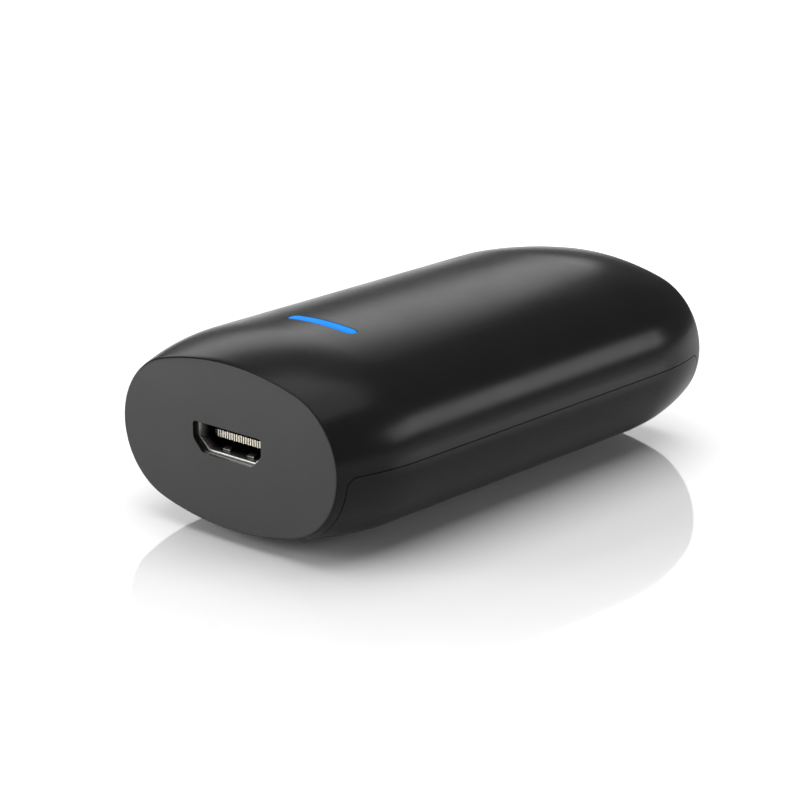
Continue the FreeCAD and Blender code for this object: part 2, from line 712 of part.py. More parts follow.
def light_bar_sleeve():
    """Black sleeve from the board to the flange, which keeps the light off the other parts."""
    flange_bottom = light_flange_top() - LIGHT_FLANGE_THICKNESS
    height = flange_bottom - BOARD_TOP
    outer = light_prism(LIGHT_FLANGE_SPACE, BOARD_TOP, flange_bottom)
    space = 2 * LIGHT_SLEEVE_SPACE
    length, width = LIGHT_BLADE_LENGTH + space, LIGHT_BLADE_WIDTH + space
    return outer.cut(box(length, width, height, 0, LIGHT_Y, BOARD_TOP))


def status_leds():
    """The lamps under the status bar."""
    first = -(LED_COUNT - 1) / 2
    places = [(first + i) * LED_PITCH for i in range(LED_COUNT)]
    return group([box(LED_LENGTH, LED_WIDTH, LED_HEIGHT, x, LIGHT_Y, BOARD_TOP) for x in places])


# Screws and their places

def cover_screw_places():
    """The two screws under the foot, on the middle line."""
    return [(0, COVER_SCREW_NEAR_Y), (0, COVER_SCREW_FAR_Y)]


def cover_screws():
    """Two cross-recessed screws driven upwards, each with its head against the cover."""
    screws = []
    for x, y in cover_screw_places():
        bottom = COVER_HEAD_Z - SCREW_HEAD_HEIGHT
        head = cylinder(SCREW_HEAD_DIAMETER, SCREW_HEAD_HEIGHT, x, y, bottom)
        shank = cylinder(SCREW_DIAMETER, COVER_SCREW_LENGTH, x, y, COVER_HEAD_Z)
        slots = [
            box(SCREW_SLOT_LENGTH, SCREW_SLOT_WIDTH, SCREW_SLOT_DEPTH, x, y, bottom),
            box(SCREW_SLOT_WIDTH, SCREW_SLOT_LENGTH, SCREW_SLOT_DEPTH, x, y, bottom),
        ]
        screws.append(joined([head, shank]).cut(joined(slots)))
    return group(screws)


def pillar(x, y):
    """A pillar from the board up to the roof, with a bore for a screw and a rib near the roof."""
    height = FAR_OUT - BOARD_TOP
    post = cylinder(PILLAR_DIAMETER, height, x, y, BOARD_TOP)
    rib = box(RIB_LENGTH, RIB_THICKNESS, height, x, y, BOARD_TOP + RIB_DROP)
    bore_length = COVER_SCREW_LENGTH - (BOARD_TOP - COVER_HEAD_Z) + BORE_SPARE
    bore = cylinder(BORE_DIAMETER, bore_length, x, y, BOARD_TOP)
    return joined([post, rib]).common(inner_form(WALL / 2)).cut(bore)


# Case parts

def upper_housing():
    """Upper shell with both end walls, the two connector cut-outs, the light's slot and the pillars."""
    shell = outer_form().cut(inner_form(WALL)).cut(cover_zone(0))
    pillars = [pillar(x, y) for x, y in cover_screw_places()]
    socket_grow = SOCKET_SHEET + SOCKET_CUTOUT_SPACE
    socket_cut = socket_prism(socket_grow, SOCKET_CUTOUT_CORNER, -FAR_OUT, SOCKET_FRONT)
    jack_cut = jack_block(JACK_CUTOUT_SPACE, JACK_FRONT - FAR_OUT, 0)
    jack_cut = jack_cut.makeFillet(JACK_CORNER, long_edges(jack_cut))
    pinhole = reset_barrel(RESET_HOLE_DIAMETER, BOARD_END, FAR_OUT)
    light_cut = light_prism(LIGHT_CLEARANCE, light_flange_top(), FAR_OUT)
    return joined([shell] + pillars).cut([socket_cut, jack_cut, pinhole, light_cut])


def cover_lip():
    """The cover's upstanding lip inside the housing's long sides, and the root that carries it."""
    outer = WALL + LIP_CLEARANCE
    length = 2 * (STRAIGHT_HALF - LIP_END_SPACE)
    core = inner_form(outer + LIP_THICKNESS)
    lip_band = box(FAR_OUT, length, LIP_ROOT + LIP_HEIGHT, 0, 0, SEAM_Z - LIP_ROOT)
    root_band = box(FAR_OUT, length, LIP_ROOT - SEAM_GAP, 0, 0, SEAM_Z - LIP_ROOT)
    lip = inner_form(outer).cut(core).common(lip_band)
    root = inner_form(WALL / 2).cut(core).common(root_band)
    return lip.Solids + root.Solids


def cover_boss(x, y):
    """A tube that stands on the cover's floor and bears on the board's lower face."""
    return cylinder(COVER_BOSS_DIAMETER, BOARD_BOTTOM - POCKET_Z, x, y, POCKET_Z)


def foot_pocket():
    """The recess in the cover that takes the rubber foot."""
    space = 2 * FOOT_CLEARANCE
    pocket = stadium(FOOT_LENGTH + space, FOOT_WIDTH + space, POCKET_Z + CUT_SPARE, 0, 0, -CUT_SPARE)
    pocket.rotate(Vector(0, 0, 0), Vector(0, 0, 1), 90)
    return pocket


def lower_cover():
    """Lower shell with the foot's pocket, the lip, two screw bosses and two long ribs."""
    shell = outer_form().cut(inner_form(WALL)).common(cover_zone(SEAM_GAP))
    margin = 2 * (FOOT_CLEARANCE + WALL / 2)
    floor = stadium(FOOT_LENGTH + margin, FOOT_WIDTH + margin, POCKET_FLOOR, 0, 0, POCKET_Z)
    floor.rotate(Vector(0, 0, 0), Vector(0, 0, 1), 90)
    rib_height = POCKET_FLOOR + COVER_RIB_HEIGHT
    ribs = [
        box(RIB_THICKNESS, COVER_RIB_LENGTH, rib_height, side * COVER_RIB_X, 0, POCKET_Z) for side in (-1, 1)
    ]
    bosses = [cover_boss(x, y) for x, y in cover_screw_places()]
    inside = joined([floor] + ribs + bosses)
    cover = joined([shell] + cover_lip()).fuse(inside)
    head_bore = SCREW_HEAD_DIAMETER + HOLE_CLEARANCE
    cuts = [foot_pocket()]
    for x, y in cover_screw_places():
        cuts.append(cylinder(head_bore, COUNTERBORE_DEPTH + CUT_SPARE, x, y, POCKET_Z - CUT_SPARE))
        cuts.append(cylinder(HOLE_DIAMETER, BOARD_BOTTOM, x, y, POCKET_Z))
    return cover.cut(cuts)


def foot_pad():
    """Rubber foot."""
    pad = stadium(FOOT_LENGTH, FOOT_WIDTH, FOOT_THICKNESS, 0, 0, 0)
    pad.rotate(Vector(0, 0, 0), Vector(0, 0, 1), 90)
    return pad


# Board and what it carries

def board_half_width(y):
    """How far the board reaches to each side at a station, inside the case's wall."""
    return case_half_width(y, BOARD_BOTTOM, WALL) - BOARD_SIDE_SPACE


def side_part_x(width):
    """Place across the board of a part of some width that stands along the board's side."""
    return board_half_width(BOARD_SHOULDER) - SIDE_PART_SPACE - width / 2


def board_outline():
    """The board's outline: it follows the case inwards past the shoulders."""
    shoulder, end = board_half_width(BOARD_SHOULDER), board_half_width(BOARD_END)
    right = [(end, -BOARD_END), (shoulder, -BOARD_SHOULDER), (shoulder, BOARD_SHOULDER), (end, BOARD_END)]
    left = [(-x, y) for x, y in reversed(right)]
    corners = [Vector(x, y, BOARD_BOTTOM) for x, y in right + left]
    return Part.Face(Part.makePolygon(corners + corners[:1]))


def main_board():
    """Circuit board with its screw holes, the network socket's notch and the legs' slots."""
    board = board_outline().extrude(Vector(0, 0, BOARD_THICKNESS))
    ends = [e for e in upright_edges(board) if abs(e.CenterOfMass.y) > (BOARD_SHOULDER + BOARD_END) / 2]
    board = board.makeChamfer(BOARD_CORNER, ends)
    notch_end = JACK_REAR - JACK_NOTCH_SPACE
    notch_width = JACK_WIDTH + 2 * JACK_NOTCH_SPACE
    cuts = [box(notch_width, FAR_OUT, FAR_OUT, 0, notch_end + FAR_OUT / 2, 0)]
    cuts += [cylinder(HOLE_DIAMETER, FAR_OUT, x, y, 0) for x, y in cover_screw_places()]
    pin_hole = SINK_PIN_WIDTH + HOLE_CLEARANCE
    cuts += [box(pin_hole, pin_hole, FAR_OUT, x, y, 0) for x, y in sink_post_places()]
    cuts += [
        box(SOCKET_SHEET + HOLE_CLEARANCE, SOCKET_LEG_WIDTH + HOLE_CLEARANCE, FAR_OUT, x, y, 0)
        for x, y in leg_places()
    ]
    return board.cut(cuts)


def chip(size, x, y, z=BOARD_TOP):
    """A flat chip with its upper edges bevelled."""
    block = box(*size, x, y, z)
    rim = [e for e in block.Edges if e.BoundBox.ZMin > block.BoundBox.Center.z]
    return block.makeChamfer(size[2] * CHIP_BEVEL_SHARE, rim)


def hung_chip(size, x, y):
    """Such a chip on the board's lower face."""
    turned = chip(size, x, y, 0)
    turned.rotate(Vector(x, y, 0), Vector(0, 1, 0), 180)
    turned.translate(Vector(0, 0, BOARD_BOTTOM))
    return turned


def system_chip():
    """The processor: a thin base with a lid set in from its edges."""
    base = box(CHIP_WIDTH, CHIP_WIDTH, CHIP_BASE_HEIGHT, 0, CHIP_Y, BOARD_TOP)
    lid_width = CHIP_WIDTH - 2 * CHIP_LID_MARGIN
    lid_size = (lid_width, lid_width, CHIP_HEIGHT - CHIP_BASE_HEIGHT)
    return joined([base, chip(lid_size, 0, CHIP_Y, BOARD_TOP + CHIP_BASE_HEIGHT)])


def thermal_pad():
    """Soft pad between the processor and its heat sink."""
    width = THERMAL_PAD_WIDTH
    return box(width, width, THERMAL_PAD_THICKNESS, 0, CHIP_Y, BOARD_TOP + CHIP_HEIGHT)


def sink_width():
    """Width of the heat sink, which takes the room between the memory chips."""
    return 2 * (side_part_x(MEMORY_SIZE[0]) - MEMORY_SIZE[0] / 2 - SINK_SIDE_SPACE)


def sink_post_places():
    """The heat sink's two posts, at opposite corners."""
    x, y = (sink_width() - SINK_POST_WIDTH) / 2, (SINK_LENGTH - SINK_POST_WIDTH) / 2
    return [(-x, CHIP_Y - y), (x, CHIP_Y + y)]


def heat_sink():
    """Finned aluminium block on two posts, whose pins are soldered through the board."""
    width = sink_width()
    base = box(width, SINK_LENGTH, SINK_BASE, 0, CHIP_Y, SINK_Z)
    pitch = (width - SINK_FIN_THICKNESS) / (SINK_FIN_COUNT - 1)
    fins = [
        box(SINK_FIN_THICKNESS, SINK_LENGTH, SINK_FIN_HEIGHT, (i - (SINK_FIN_COUNT - 1) / 2) * pitch,
            CHIP_Y, SINK_Z + SINK_BASE)
        for i in range(SINK_FIN_COUNT)
    ]
    pin_bottom = BOARD_BOTTOM - SINK_PIN_REACH
    legs = []
    for x, y in sink_post_places():
        legs.append(box(SINK_POST_WIDTH, SINK_POST_WIDTH, SINK_Z - BOARD_TOP, x, y, BOARD_TOP))
        legs.append(box(SINK_PIN_WIDTH, SINK_PIN_WIDTH, BOARD_TOP - pin_bottom, x, y, pin_bottom))
    return joined([base] + fins + legs)


def memory_chips():
    """A memory chip on each side of the processor."""
    x = side_part_x(MEMORY_SIZE[0])
    return group([chip(MEMORY_SIZE, side * x, MEMORY_Y) for side in (-1, 1)])


def storage_chip():
    """The storage chip, under the board beside the near screw's boss."""
    return hung_chip(STORAGE_SIZE, STORAGE_X, STORAGE_Y)


def ethernet_phy_chip():
    """The network transceiver."""
    return chip(PHY_SIZE, side_part_x(PHY_SIZE[0]), TIMING_Y)


def shield_can_block(thickness):
    """The shield can's form drawn in by a sheet thickness, with its upper and upright edges bevelled."""
    width, length, height = SHIELD_CAN_SIZE
    trim = 2 * thickness
    x = -side_part_x(width)
    block = box(width - trim, length - trim, height - thickness, x, SHIELD_CAN_Y, BOARD_TOP)
    return block.makeChamfer(SHIELD_CAN_BEVEL, upper_edges(block))


def regulator_shield_can():
    """Pressed can over the voltage regulators, open below."""
    return shield_can_block(0).cut(shield_can_block(SHIELD_CAN_SHEET))


def voltage_regulators():
    """The regulator chip and its two coils under the can."""
    x = -side_part_x(SHIELD_CAN_SIZE[0])
    offset = (REGULATOR_COIL_SIZE[0] + COIL_GAP) / 2
    coils = [chip(REGULATOR_COIL_SIZE, x + side * offset, SHIELD_CAN_Y + COIL_OFFSET) for side in (-1, 1)]
    return group([chip(REGULATOR_SIZE, x, SHIELD_CAN_Y + REGULATOR_OFFSET)] + coils)


def timing_crystal():
    """Small metal can with cut corners."""
    can = box(*CRYSTAL_SIZE, -side_part_x(CRYSTAL_SIZE[0]), TIMING_Y, BOARD_TOP)
    return can.makeChamfer(CRYSTAL_CORNER, upright_edges(can))


def ethernet_isolator():
    """Moulded signal transformer block with a row of flat feet on both sides."""
    width, length, height = ISOLATOR_SIZE
    thin = ISOLATOR_PIN_THICKNESS
    block = chip((width, length, height - thin), ISOLATOR_X, ISOLATOR_Y, BOARD_TOP + thin)
    pitch = width / ISOLATOR_PINS
    foot_length = ISOLATOR_PIN_LENGTH + 2 * thin
    reach = length / 2 + ISOLATOR_PIN_LENGTH - foot_length / 2
    places = [ISOLATOR_X + (i - (ISOLATOR_PINS - 1) / 2) * pitch for i in range(ISOLATOR_PINS)]
    feet = [
        box(ISOLATOR_PIN_WIDTH, foot_length, thin, x, ISOLATOR_Y + side * reach, BOARD_TOP)
        for x in places for side in (-1, 1)
    ]
    return joined([block] + feet)


def transformer_window():
    """Width and height of each of the core's two windows."""
    width = (TRANSFORMER_WIDTH - 3 * TRANSFORMER_LEG) / 2
    return width, TRANSFORMER_HEIGHT - TRANSFORMER_BASE - 2 * TRANSFORMER_YOKE


def power_transformer_core():
    """Two-window ferrite core, standing above the bobbin's base."""
    bottom = BOARD_TOP + TRANSFORMER_BASE
    height = TRANSFORMER_HEIGHT - TRANSFORMER_BASE
    core = box(TRANSFORMER_WIDTH, TRANSFORMER_DEPTH, height, TRANSFORMER_X, TRANSFORMER_Y, bottom)
    width, height = transformer_window()
    offset = (TRANSFORMER_LEG + width) / 2
    windows = [
        box(width, TRANSFORMER_DEPTH, height, TRANSFORMER_X + side * offset, TRANSFORMER_Y,
            bottom + TRANSFORMER_YOKE)
        for side in (-1, 1)
    ]
    return core.cut(windows)


def power_transformer_winding():
    """The winding round the core's middle leg, with the bobbin's base and feet under it."""
    window_width, window_height = transformer_window()
    x, y, space = TRANSFORMER_X, TRANSFORMER_Y, WINDING_SPACE
    bottom = BOARD_TOP + TRANSFORMER_BASE + TRANSFORMER_YOKE + space
    height = window_height - 2 * space
    width = TRANSFORMER_LEG + 2 * (window_width - space)
    bore_length = TRANSFORMER_DEPTH + 2 * space
    coil = box(width, TRANSFORMER_LENGTH, height, x, y, bottom)
    coil = coil.makeChamfer(WINDING_CORNER, upright_edges(coil))
    coil = coil.cut(box(TRANSFORMER_LEG + 2 * space, bore_length, height, x, y, bottom))
    foot_length = (TRANSFORMER_LENGTH - bore_length) / 2
    reach = (TRANSFORMER_LENGTH - foot_length) / 2
    feet = [
        box(width, foot_length, bottom - BOARD_TOP, x, y + side * reach, BOARD_TOP) for side in (-1, 1)
    ]
    return joined([coil] + feet)


def power_inductor():
    """Square power inductor with cut corners and its round core on top."""
    body = box(INDUCTOR_SIZE, INDUCTOR_SIZE, INDUCTOR_HEIGHT, INDUCTOR_X, INDUCTOR_Y, BOARD_TOP)
    body = body.makeChamfer(INDUCTOR_CORNER, upright_edges(body))
    top = BOARD_TOP + INDUCTOR_HEIGHT
    return joined([body, cylinder(INDUCTOR_CORE_DIAMETER, INDUCTOR_CORE_RISE, INDUCTOR_X, INDUCTOR_Y, top)])


def capacitors():
    """Diameter, height and place of the two supply capacitors, one on each side of the network socket."""
    wing = JACK_WIDTH / 2 + JACK_WING_WIDTH + CAPACITOR_SIDE_SPACE
    sizes = ((-1, LARGE_CAPACITOR, LARGE_CAPACITOR_SHIFT), (1, SMALL_CAPACITOR, SMALL_CAPACITOR_SHIFT))
    return [
        (diameter, height, side * (wing + (diameter + CAPACITOR_BASE_SPACE) / 2), JACK_REAR + shift)
        for side, (diameter, height), shift in sizes
    ]


def capacitor_cans():
    """The two aluminium cans, each on its base."""
    base = CAPACITOR_BASE_HEIGHT
    return group([
        cylinder(diameter, height - base, x, y, BOARD_TOP + base) for diameter, height, x, y in capacitors()
    ])


def capacitor_bases():
    """The moulded plate under each can, with two cut corners."""
    bases = []
    for diameter, _, x, y in capacitors():
        side = diameter + CAPACITOR_BASE_SPACE
        plate = box(side, side, CAPACITOR_BASE_HEIGHT, x, y, BOARD_TOP)
        cut = [e for e in upright_edges(plate) if e.BoundBox.YMin > y]
        bases.append(plate.makeChamfer(CAPACITOR_BASE_CUT, cut))
    return group(bases)


def hung_row(size, count, pitch, x, y):
    """Equal chips in a row along Y on the board's lower face."""
    first = -(count - 1) / 2
    return group([hung_chip(size, x, y + (first + i) * pitch) for i in range(count)])


def rectifier_diodes():
    """Four rectifiers beside the network socket, under the board."""
    return hung_row(DIODE_SIZE, DIODE_COUNT, DIODE_PITCH, -HUNG_X, DIODE_Y)


def power_control_chips():
    """Three supply controllers on the other side."""
    return hung_row(DRIVER_SIZE, DRIVER_COUNT, DRIVER_PITCH, HUNG_X, DRIVER_Y)


def ceramic_capacitors():
    """A grid of small capacitors on the board's lower face under the processor."""
    width, length, height = CERAMIC_SIZE
    pieces = []
    for i in range(CERAMIC_COLUMNS):
        for j in range(CERAMIC_ROWS):
            x = (i - (CERAMIC_COLUMNS - 1) / 2) * CERAMIC_PITCH
            y = CHIP_Y + (j - (CERAMIC_ROWS - 1) / 2) * CERAMIC_PITCH
            pieces.append(box(width, length, height, x, y, BOARD_BOTTOM - height))
    return group(pieces)


def signal_resistors():
    """A row of small resistors along each side of the video socket."""
    pieces = []
    for side in (-1, 1):
        for i in range(RESISTOR_COUNT):
            y = RESISTOR_Y + (i - (RESISTOR_COUNT - 1) / 2) * RESISTOR_PITCH
            pieces.append(box(*RESISTOR_SIZE, side * RESISTOR_X, y, BOARD_TOP))
    return group(pieces)


# Reset switch

def reset_z():
    """Height of the reset plunger's axis."""
    return BOARD_TOP + RESET_HEIGHT / 2


def reset_barrel(diameter, start, end):
    """A round piece on the plunger's axis between two stations."""
    return Part.makeCylinder(diameter / 2, end - start, Vector(RESET_X, start, reset_z()), Vector(0, 1, 0))


def reset_switch():
    """The switch's hollow body at the board's edge, with a round hole for the plunger."""
    y, skin = BOARD_END - RESET_DEPTH / 2, 2 * RESET_SHELL
    body = box(RESET_WIDTH, RESET_DEPTH, RESET_HEIGHT, RESET_X, y, BOARD_TOP)
    hollow_bottom = BOARD_TOP + RESET_SHELL
    hollow = box(RESET_WIDTH - skin, RESET_DEPTH - skin, RESET_HEIGHT - skin, RESET_X, y, hollow_bottom)
    hole = reset_barrel(RESET_PLUNGER_DIAMETER + 2 * RESET_PLUNGER_CLEARANCE, y, BOARD_END + CUT_SPARE)
    return body.cut([hollow, hole])


def spring_seat():
    """Station of the switch's rear wall, where the leaf spring rests."""
    return BOARD_END - RESET_DEPTH + RESET_SHELL


def spring_rise():
    """Height of the leaf spring's arch: the plunger's travel and a little more."""
    return RESET_TRAVEL + RESET_SPRING_SPARE


def reset_plunger():
    """The plunger behind the pinhole: a stem, and a wider rear end that keeps it in the switch."""
    stop = BOARD_END - RESET_SHELL
    stem = reset_barrel(RESET_PLUNGER_DIAMETER, stop, INNER_END - RESET_PLUNGER_GAP)
    rear = reset_barrel(RESET_COLLAR_DIAMETER, spring_seat() + spring_rise(), stop)
    return joined([stem, rear])


def reset_spring():
    """The bent leaf that pushes the plunger back, with both ends against the switch's rear wall."""
    seat, sheet = spring_seat(), RESET_SPRING_SHEET
    crest = seat + spring_rise()
    end, top = RESET_SPRING_LENGTH / 2, RESET_SPRING_CREST / 2
    right = [(end, seat), (end, seat + sheet), (top, crest)]
    inner = [(top, crest - sheet), (end - sheet, seat)]
    outline = right + [(-x, y) for x, y in reversed(right)] + [(-x, y) for x, y in reversed(inner)] + inner
    bottom = reset_z() - RESET_SPRING_WIDTH / 2
    corners = [Vector(RESET_X + x, y, bottom) for x, y in outline]
    return Part.Face(Part.makePolygon(corners + corners[:1])).extrude(Vector(0, 0, RESET_SPRING_WIDTH))


NODES = {
    "upper_housing": upper_housing,
    "lower_cover": lower_cover,
    "foot_pad": foot_pad,
    "status_light_bar": status_light_bar,
    "light_bar_sleeve": light_bar_sleeve,
    "status_leds": status_leds,
    "main_board": main_board,
    "hdmi_shell": hdmi_shell,
    "hdmi_insulator": hdmi_insulator,
    "hdmi_contacts": hdmi_contacts,
    "ethernet_jack_shield": ethernet_jack_shield,
    "ethernet_jack_insert": ethernet_jack_insert,
    "ethernet_contacts": ethernet_contacts,
    "reset_plunger": reset_plunger,
    "reset_switch": reset_switch,
    "reset_spring": reset_spring,
    "cover_screws": cover_screws,
    "system_chip": system_chip,
    "thermal_pad": thermal_pad,
    "heat_sink": heat_sink,
    "memory_chips": memory_chips,
    "storage_chip": storage_chip,
    "ethernet_phy_chip": ethernet_phy_chip,
    "timing_crystal": timing_crystal,
    "regulator_shield_can": regulator_shield_can,
    "voltage_regulators": voltage_regulators,
    "ethernet_isolator": ethernet_isolator,
    "power_transformer_core": power_transformer_core,
    "power_transformer_winding": power_transformer_winding,
    "power_inductor": power_inductor,
    "capacitor_cans": capacitor_cans,
    "capacitor_bases": capacitor_bases,
    "rectifier_diodes": rectifier_diodes,
    "power_control_chips": power_control_chips,
    "ceramic_capacitors": ceramic_capacitors,
    "signal_resistors": signal_resistors,
}


def main():
    """Write every piece to its own file and print its measures."""
    os.makedirs("parts", exist_ok=True)
    for name, build in NODES.items():
        shape = build()
        shape.exportStep(f"parts/{name}.step")
        b = shape.BoundBox
        print(f"{name}: {len(shape.Solids)} solids, {shape.Volume:.2f} mm3, valid {shape.isValid()}, "
              f"x {b.XMin:.2f}..{b.XMax:.2f} y {b.YMin:.2f}..{b.YMax:.2f} z {b.ZMin:.2f}..{b.ZMax:.2f}")


main()
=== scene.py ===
import logging
import math
from collections.abc import Callable, Iterator, Mapping, Sequence
from contextlib import contextmanager
from dataclasses import dataclass
from enum import Enum

import bmesh
import bpy
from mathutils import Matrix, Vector


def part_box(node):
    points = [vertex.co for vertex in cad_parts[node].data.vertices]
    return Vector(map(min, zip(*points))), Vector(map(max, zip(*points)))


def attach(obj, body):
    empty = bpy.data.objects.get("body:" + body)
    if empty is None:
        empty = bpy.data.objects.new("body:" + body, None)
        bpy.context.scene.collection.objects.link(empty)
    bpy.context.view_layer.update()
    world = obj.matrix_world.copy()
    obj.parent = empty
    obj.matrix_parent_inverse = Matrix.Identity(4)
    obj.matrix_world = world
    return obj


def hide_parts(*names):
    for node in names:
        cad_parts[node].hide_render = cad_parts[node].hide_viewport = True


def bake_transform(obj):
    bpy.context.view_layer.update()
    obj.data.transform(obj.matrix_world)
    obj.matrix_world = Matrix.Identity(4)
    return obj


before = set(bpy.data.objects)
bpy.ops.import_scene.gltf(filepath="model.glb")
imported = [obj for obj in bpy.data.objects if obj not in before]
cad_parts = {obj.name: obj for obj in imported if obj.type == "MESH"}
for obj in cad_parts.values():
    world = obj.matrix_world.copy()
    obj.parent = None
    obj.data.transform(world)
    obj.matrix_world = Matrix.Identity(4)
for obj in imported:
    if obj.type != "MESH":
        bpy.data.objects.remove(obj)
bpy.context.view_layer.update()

LOG = logging.getLogger("signage_player")

MM = 0.001
NEAR = 0.01 * MM  # a corner this close to a plane lies in it
CUT_INSIDE = 1 * MM  # how far an end face's cutter goes in from the piece that it makes way for
CUT_OUTSIDE = 5 * MM  # and how far out
MERGE_DISTANCE = 0.0005 * MM
PARALLEL = 0.999  # the cosine from which an edge runs along a direction
FLAT_ANGLE = math.radians(1)  # faces that meet at less than this are joined
SMOOTH_ANGLE = math.radians(30)
EASED_ANGLE = math.radians(35)  # edges that bend by more than this are eased
PLAYER = "player"
BUTTON = "reset_button"

Piece = bpy.types.Object
Colour = tuple[float, float, float, float]
Item = bmesh.types.BMFace | bmesh.types.BMEdge


def rgb(red: float, green: float, blue: float) -> Colour:
    """An opaque colour."""
    return (red, green, blue, 1.0)


def grey(level: float) -> Colour:
    """A neutral colour."""
    return rgb(level, level, level)


def toned(colour: Colour, factor: float) -> Colour:
    """A colour made darker or lighter by a factor."""
    return rgb(*(part * factor for part in colour[:3]))


# Modelling steps, made with the operators as by hand

class Part(Enum):
    """What is selected in edit mode."""

    FACES = "FACE"
    EDGES = "EDGE"


class Carve(Enum):
    """What a cutter does: take away what it covers, or keep only that."""

    AWAY = "DIFFERENCE"
    KEEP = "INTERSECT"


def deselect_all() -> None:
    """Leave nothing selected and nothing active."""
    for piece in list(bpy.context.selected_objects):
        piece.select_set(False)
    bpy.context.view_layer.objects.active = None


def activate(piece: Piece) -> None:
    """Select one piece alone and make it active.

    Args:
        piece: The piece.
    """
    deselect_all()
    piece.select_set(True)
    bpy.context.view_layer.objects.active = piece


@contextmanager
def editing(piece: Piece) -> Iterator[None]:
    """Edit mode on one piece, and object mode again afterwards.

    Args:
        piece: The mesh object to edit.

    Yields:
        Nothing; the piece is in edit mode with its whole mesh selected.
    """
    activate(piece)
    bpy.ops.object.mode_set(mode="EDIT")
    bpy.ops.mesh.select_mode(type="VERT")
    bpy.ops.mesh.select_all(action="SELECT")
    yield
    bpy.ops.object.mode_set(mode="OBJECT")


def settle(piece: Piece, name: str) -> Piece:
    """Name a piece and put its place, turn and size into its mesh.

    Args:
        piece: The object to settle.
        name: Its new name.

    Returns:
        The same object, at the origin.
    """
    activate(piece)
    bpy.ops.object.transform_apply(location=True, rotation=True, scale=True)
    piece.name = name
    piece.data.name = name
    return piece


def select(piece: Piece, part: Part, test: Callable[[Item], bool]) -> None:
    """In edit mode, select the faces or edges that pass a test.

    Args:
        piece: The mesh object in edit mode.
        part: Whether faces or edges are selected.
        test: Says of a face or an edge whether it counts.
    """
    bpy.ops.mesh.select_all(action="DESELECT")
    bpy.ops.mesh.select_mode(type=part.value)
    mesh = bmesh.from_edit_mesh(piece.data)
    for item in (mesh.faces if part is Part.FACES else mesh.edges):
        if test(item):
            item.select_set(True)
    mesh.select_flush_mode()
    bmesh.update_edit_mesh(piece.data)


def pick(piece: Piece, part: Part, test: Callable[[Vector], bool]) -> None:
    """In edit mode, select the faces or edges all of whose corners pass a test.

    Args:
        piece: The mesh object in edit mode.
        part: Whether faces or edges are picked.
        test: Says of a corner's place whether it counts.
    """
    select(piece, part, lambda item: all(test(corner.co) for corner in item.verts))


def round_edges(piece: Piece, direction: Vector, radius: float, steps: int,
                test: Callable[[Vector], bool] = lambda place: True) -> None:
    """Round the edges of a piece that run along a direction.

    Args:
        piece: The object to change.
        direction: The direction of the edges, of length 1.
        radius: The radius, in metres.
        steps: How many faces each round gets.
        test: Says of an edge's middle whether it counts.
    """
    def counts(edge: bmesh.types.BMEdge) -> bool:
        """Whether an edge runs along the direction and its middle passes the test."""
        start, end = (corner.co for corner in edge.verts)
        return abs((end - start).normalized().dot(direction)) > PARALLEL and test((start + end) / 2)

    with editing(piece):
        select(piece, Part.EDGES, counts)
        bpy.ops.mesh.bevel(offset=radius, offset_type="OFFSET", segments=steps, affect="EDGES")


def block(name: str, low: Vector, high: Vector) -> Piece:
    """A block between two corners, as a start for other shapes.

    Args:
        name: The object's name.
        low: Its lowest corner.
        high: Its highest corner.

    Returns:
        The new object.
    """
    deselect_all()
    bpy.ops.mesh.primitive_cube_add(size=1, location=(low + high) / 2, scale=high - low)
    return settle(bpy.context.object, name)


def apply_modifier(piece: Piece, kind: str, **settings: object) -> None:
    """Add a modifier to a piece and apply it.

    Args:
        piece: The object to change.
        kind: The modifier's type.
        **settings: The modifier's properties.
    """
    activate(piece)
    modifier = piece.modifiers.new(kind.lower(), kind)
    for key, value in settings.items():
        setattr(modifier, key, value)
    bpy.ops.object.modifier_apply(modifier=modifier.name)


def carve(piece: Piece, cutter: Piece, how: Carve = Carve.AWAY) -> None:
    """Shape a piece with a cutter, which is used up.

    Args:
        piece: The object to change.
        cutter: The closed object that it is shaped with.
        how: Whether what the cutter covers goes or stays.
    """
    apply_modifier(piece, "BOOLEAN", object=cutter, operation=how.value, solver="EXACT")
    bpy.data.meshes.remove(cutter.data)


def copied(piece: Piece, name: str) -> Piece:
    """A copy of a piece with its own mesh, in the scene's own collection.

    Args:
        piece: The object to copy.
        name: The copy's name.

    Returns:
        The copy, which has no parent and no material.
    """
    twin = bpy.data.objects.new(name, piece.data.copy())
    twin.data.name = name
    twin.data.materials.clear()
    bpy.context.scene.collection.objects.link(twin)
    return twin


def smooth(piece: Piece) -> None:
    """Shade a piece smooth, with its real edges kept sharp."""
    activate(piece)
    bpy.ops.object.shade_smooth_by_angle(angle=SMOOTH_ANGLE)


def eased(node: str, name: str, radius: float, steps: int = 2) -> Piece:
    """A copy of a construction piece with its sharp edges eased, which stands for it.

    Args:
        node: The construction node's name.
        name: The new piece's name.
        radius: The width of the eased edge, in metres.
        steps: How many faces each eased edge gets.

    Returns:
        The new piece, not yet dressed.
    """
    piece = copied(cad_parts[node], name)
    with editing(piece):
        bpy.ops.mesh.remove_doubles(threshold=MERGE_DISTANCE)
        bpy.ops.mesh.dissolve_limited(angle_limit=FLAT_ANGLE)
        bpy.ops.mesh.normals_make_consistent(inside=False)
    apply_modifier(piece, "BEVEL", width=radius, segments=steps, limit_method="ANGLE",
                   angle_limit=EASED_ANGLE, harden_normals=False)
    smooth(piece)
    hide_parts(node)
    return piece


# Shader sums

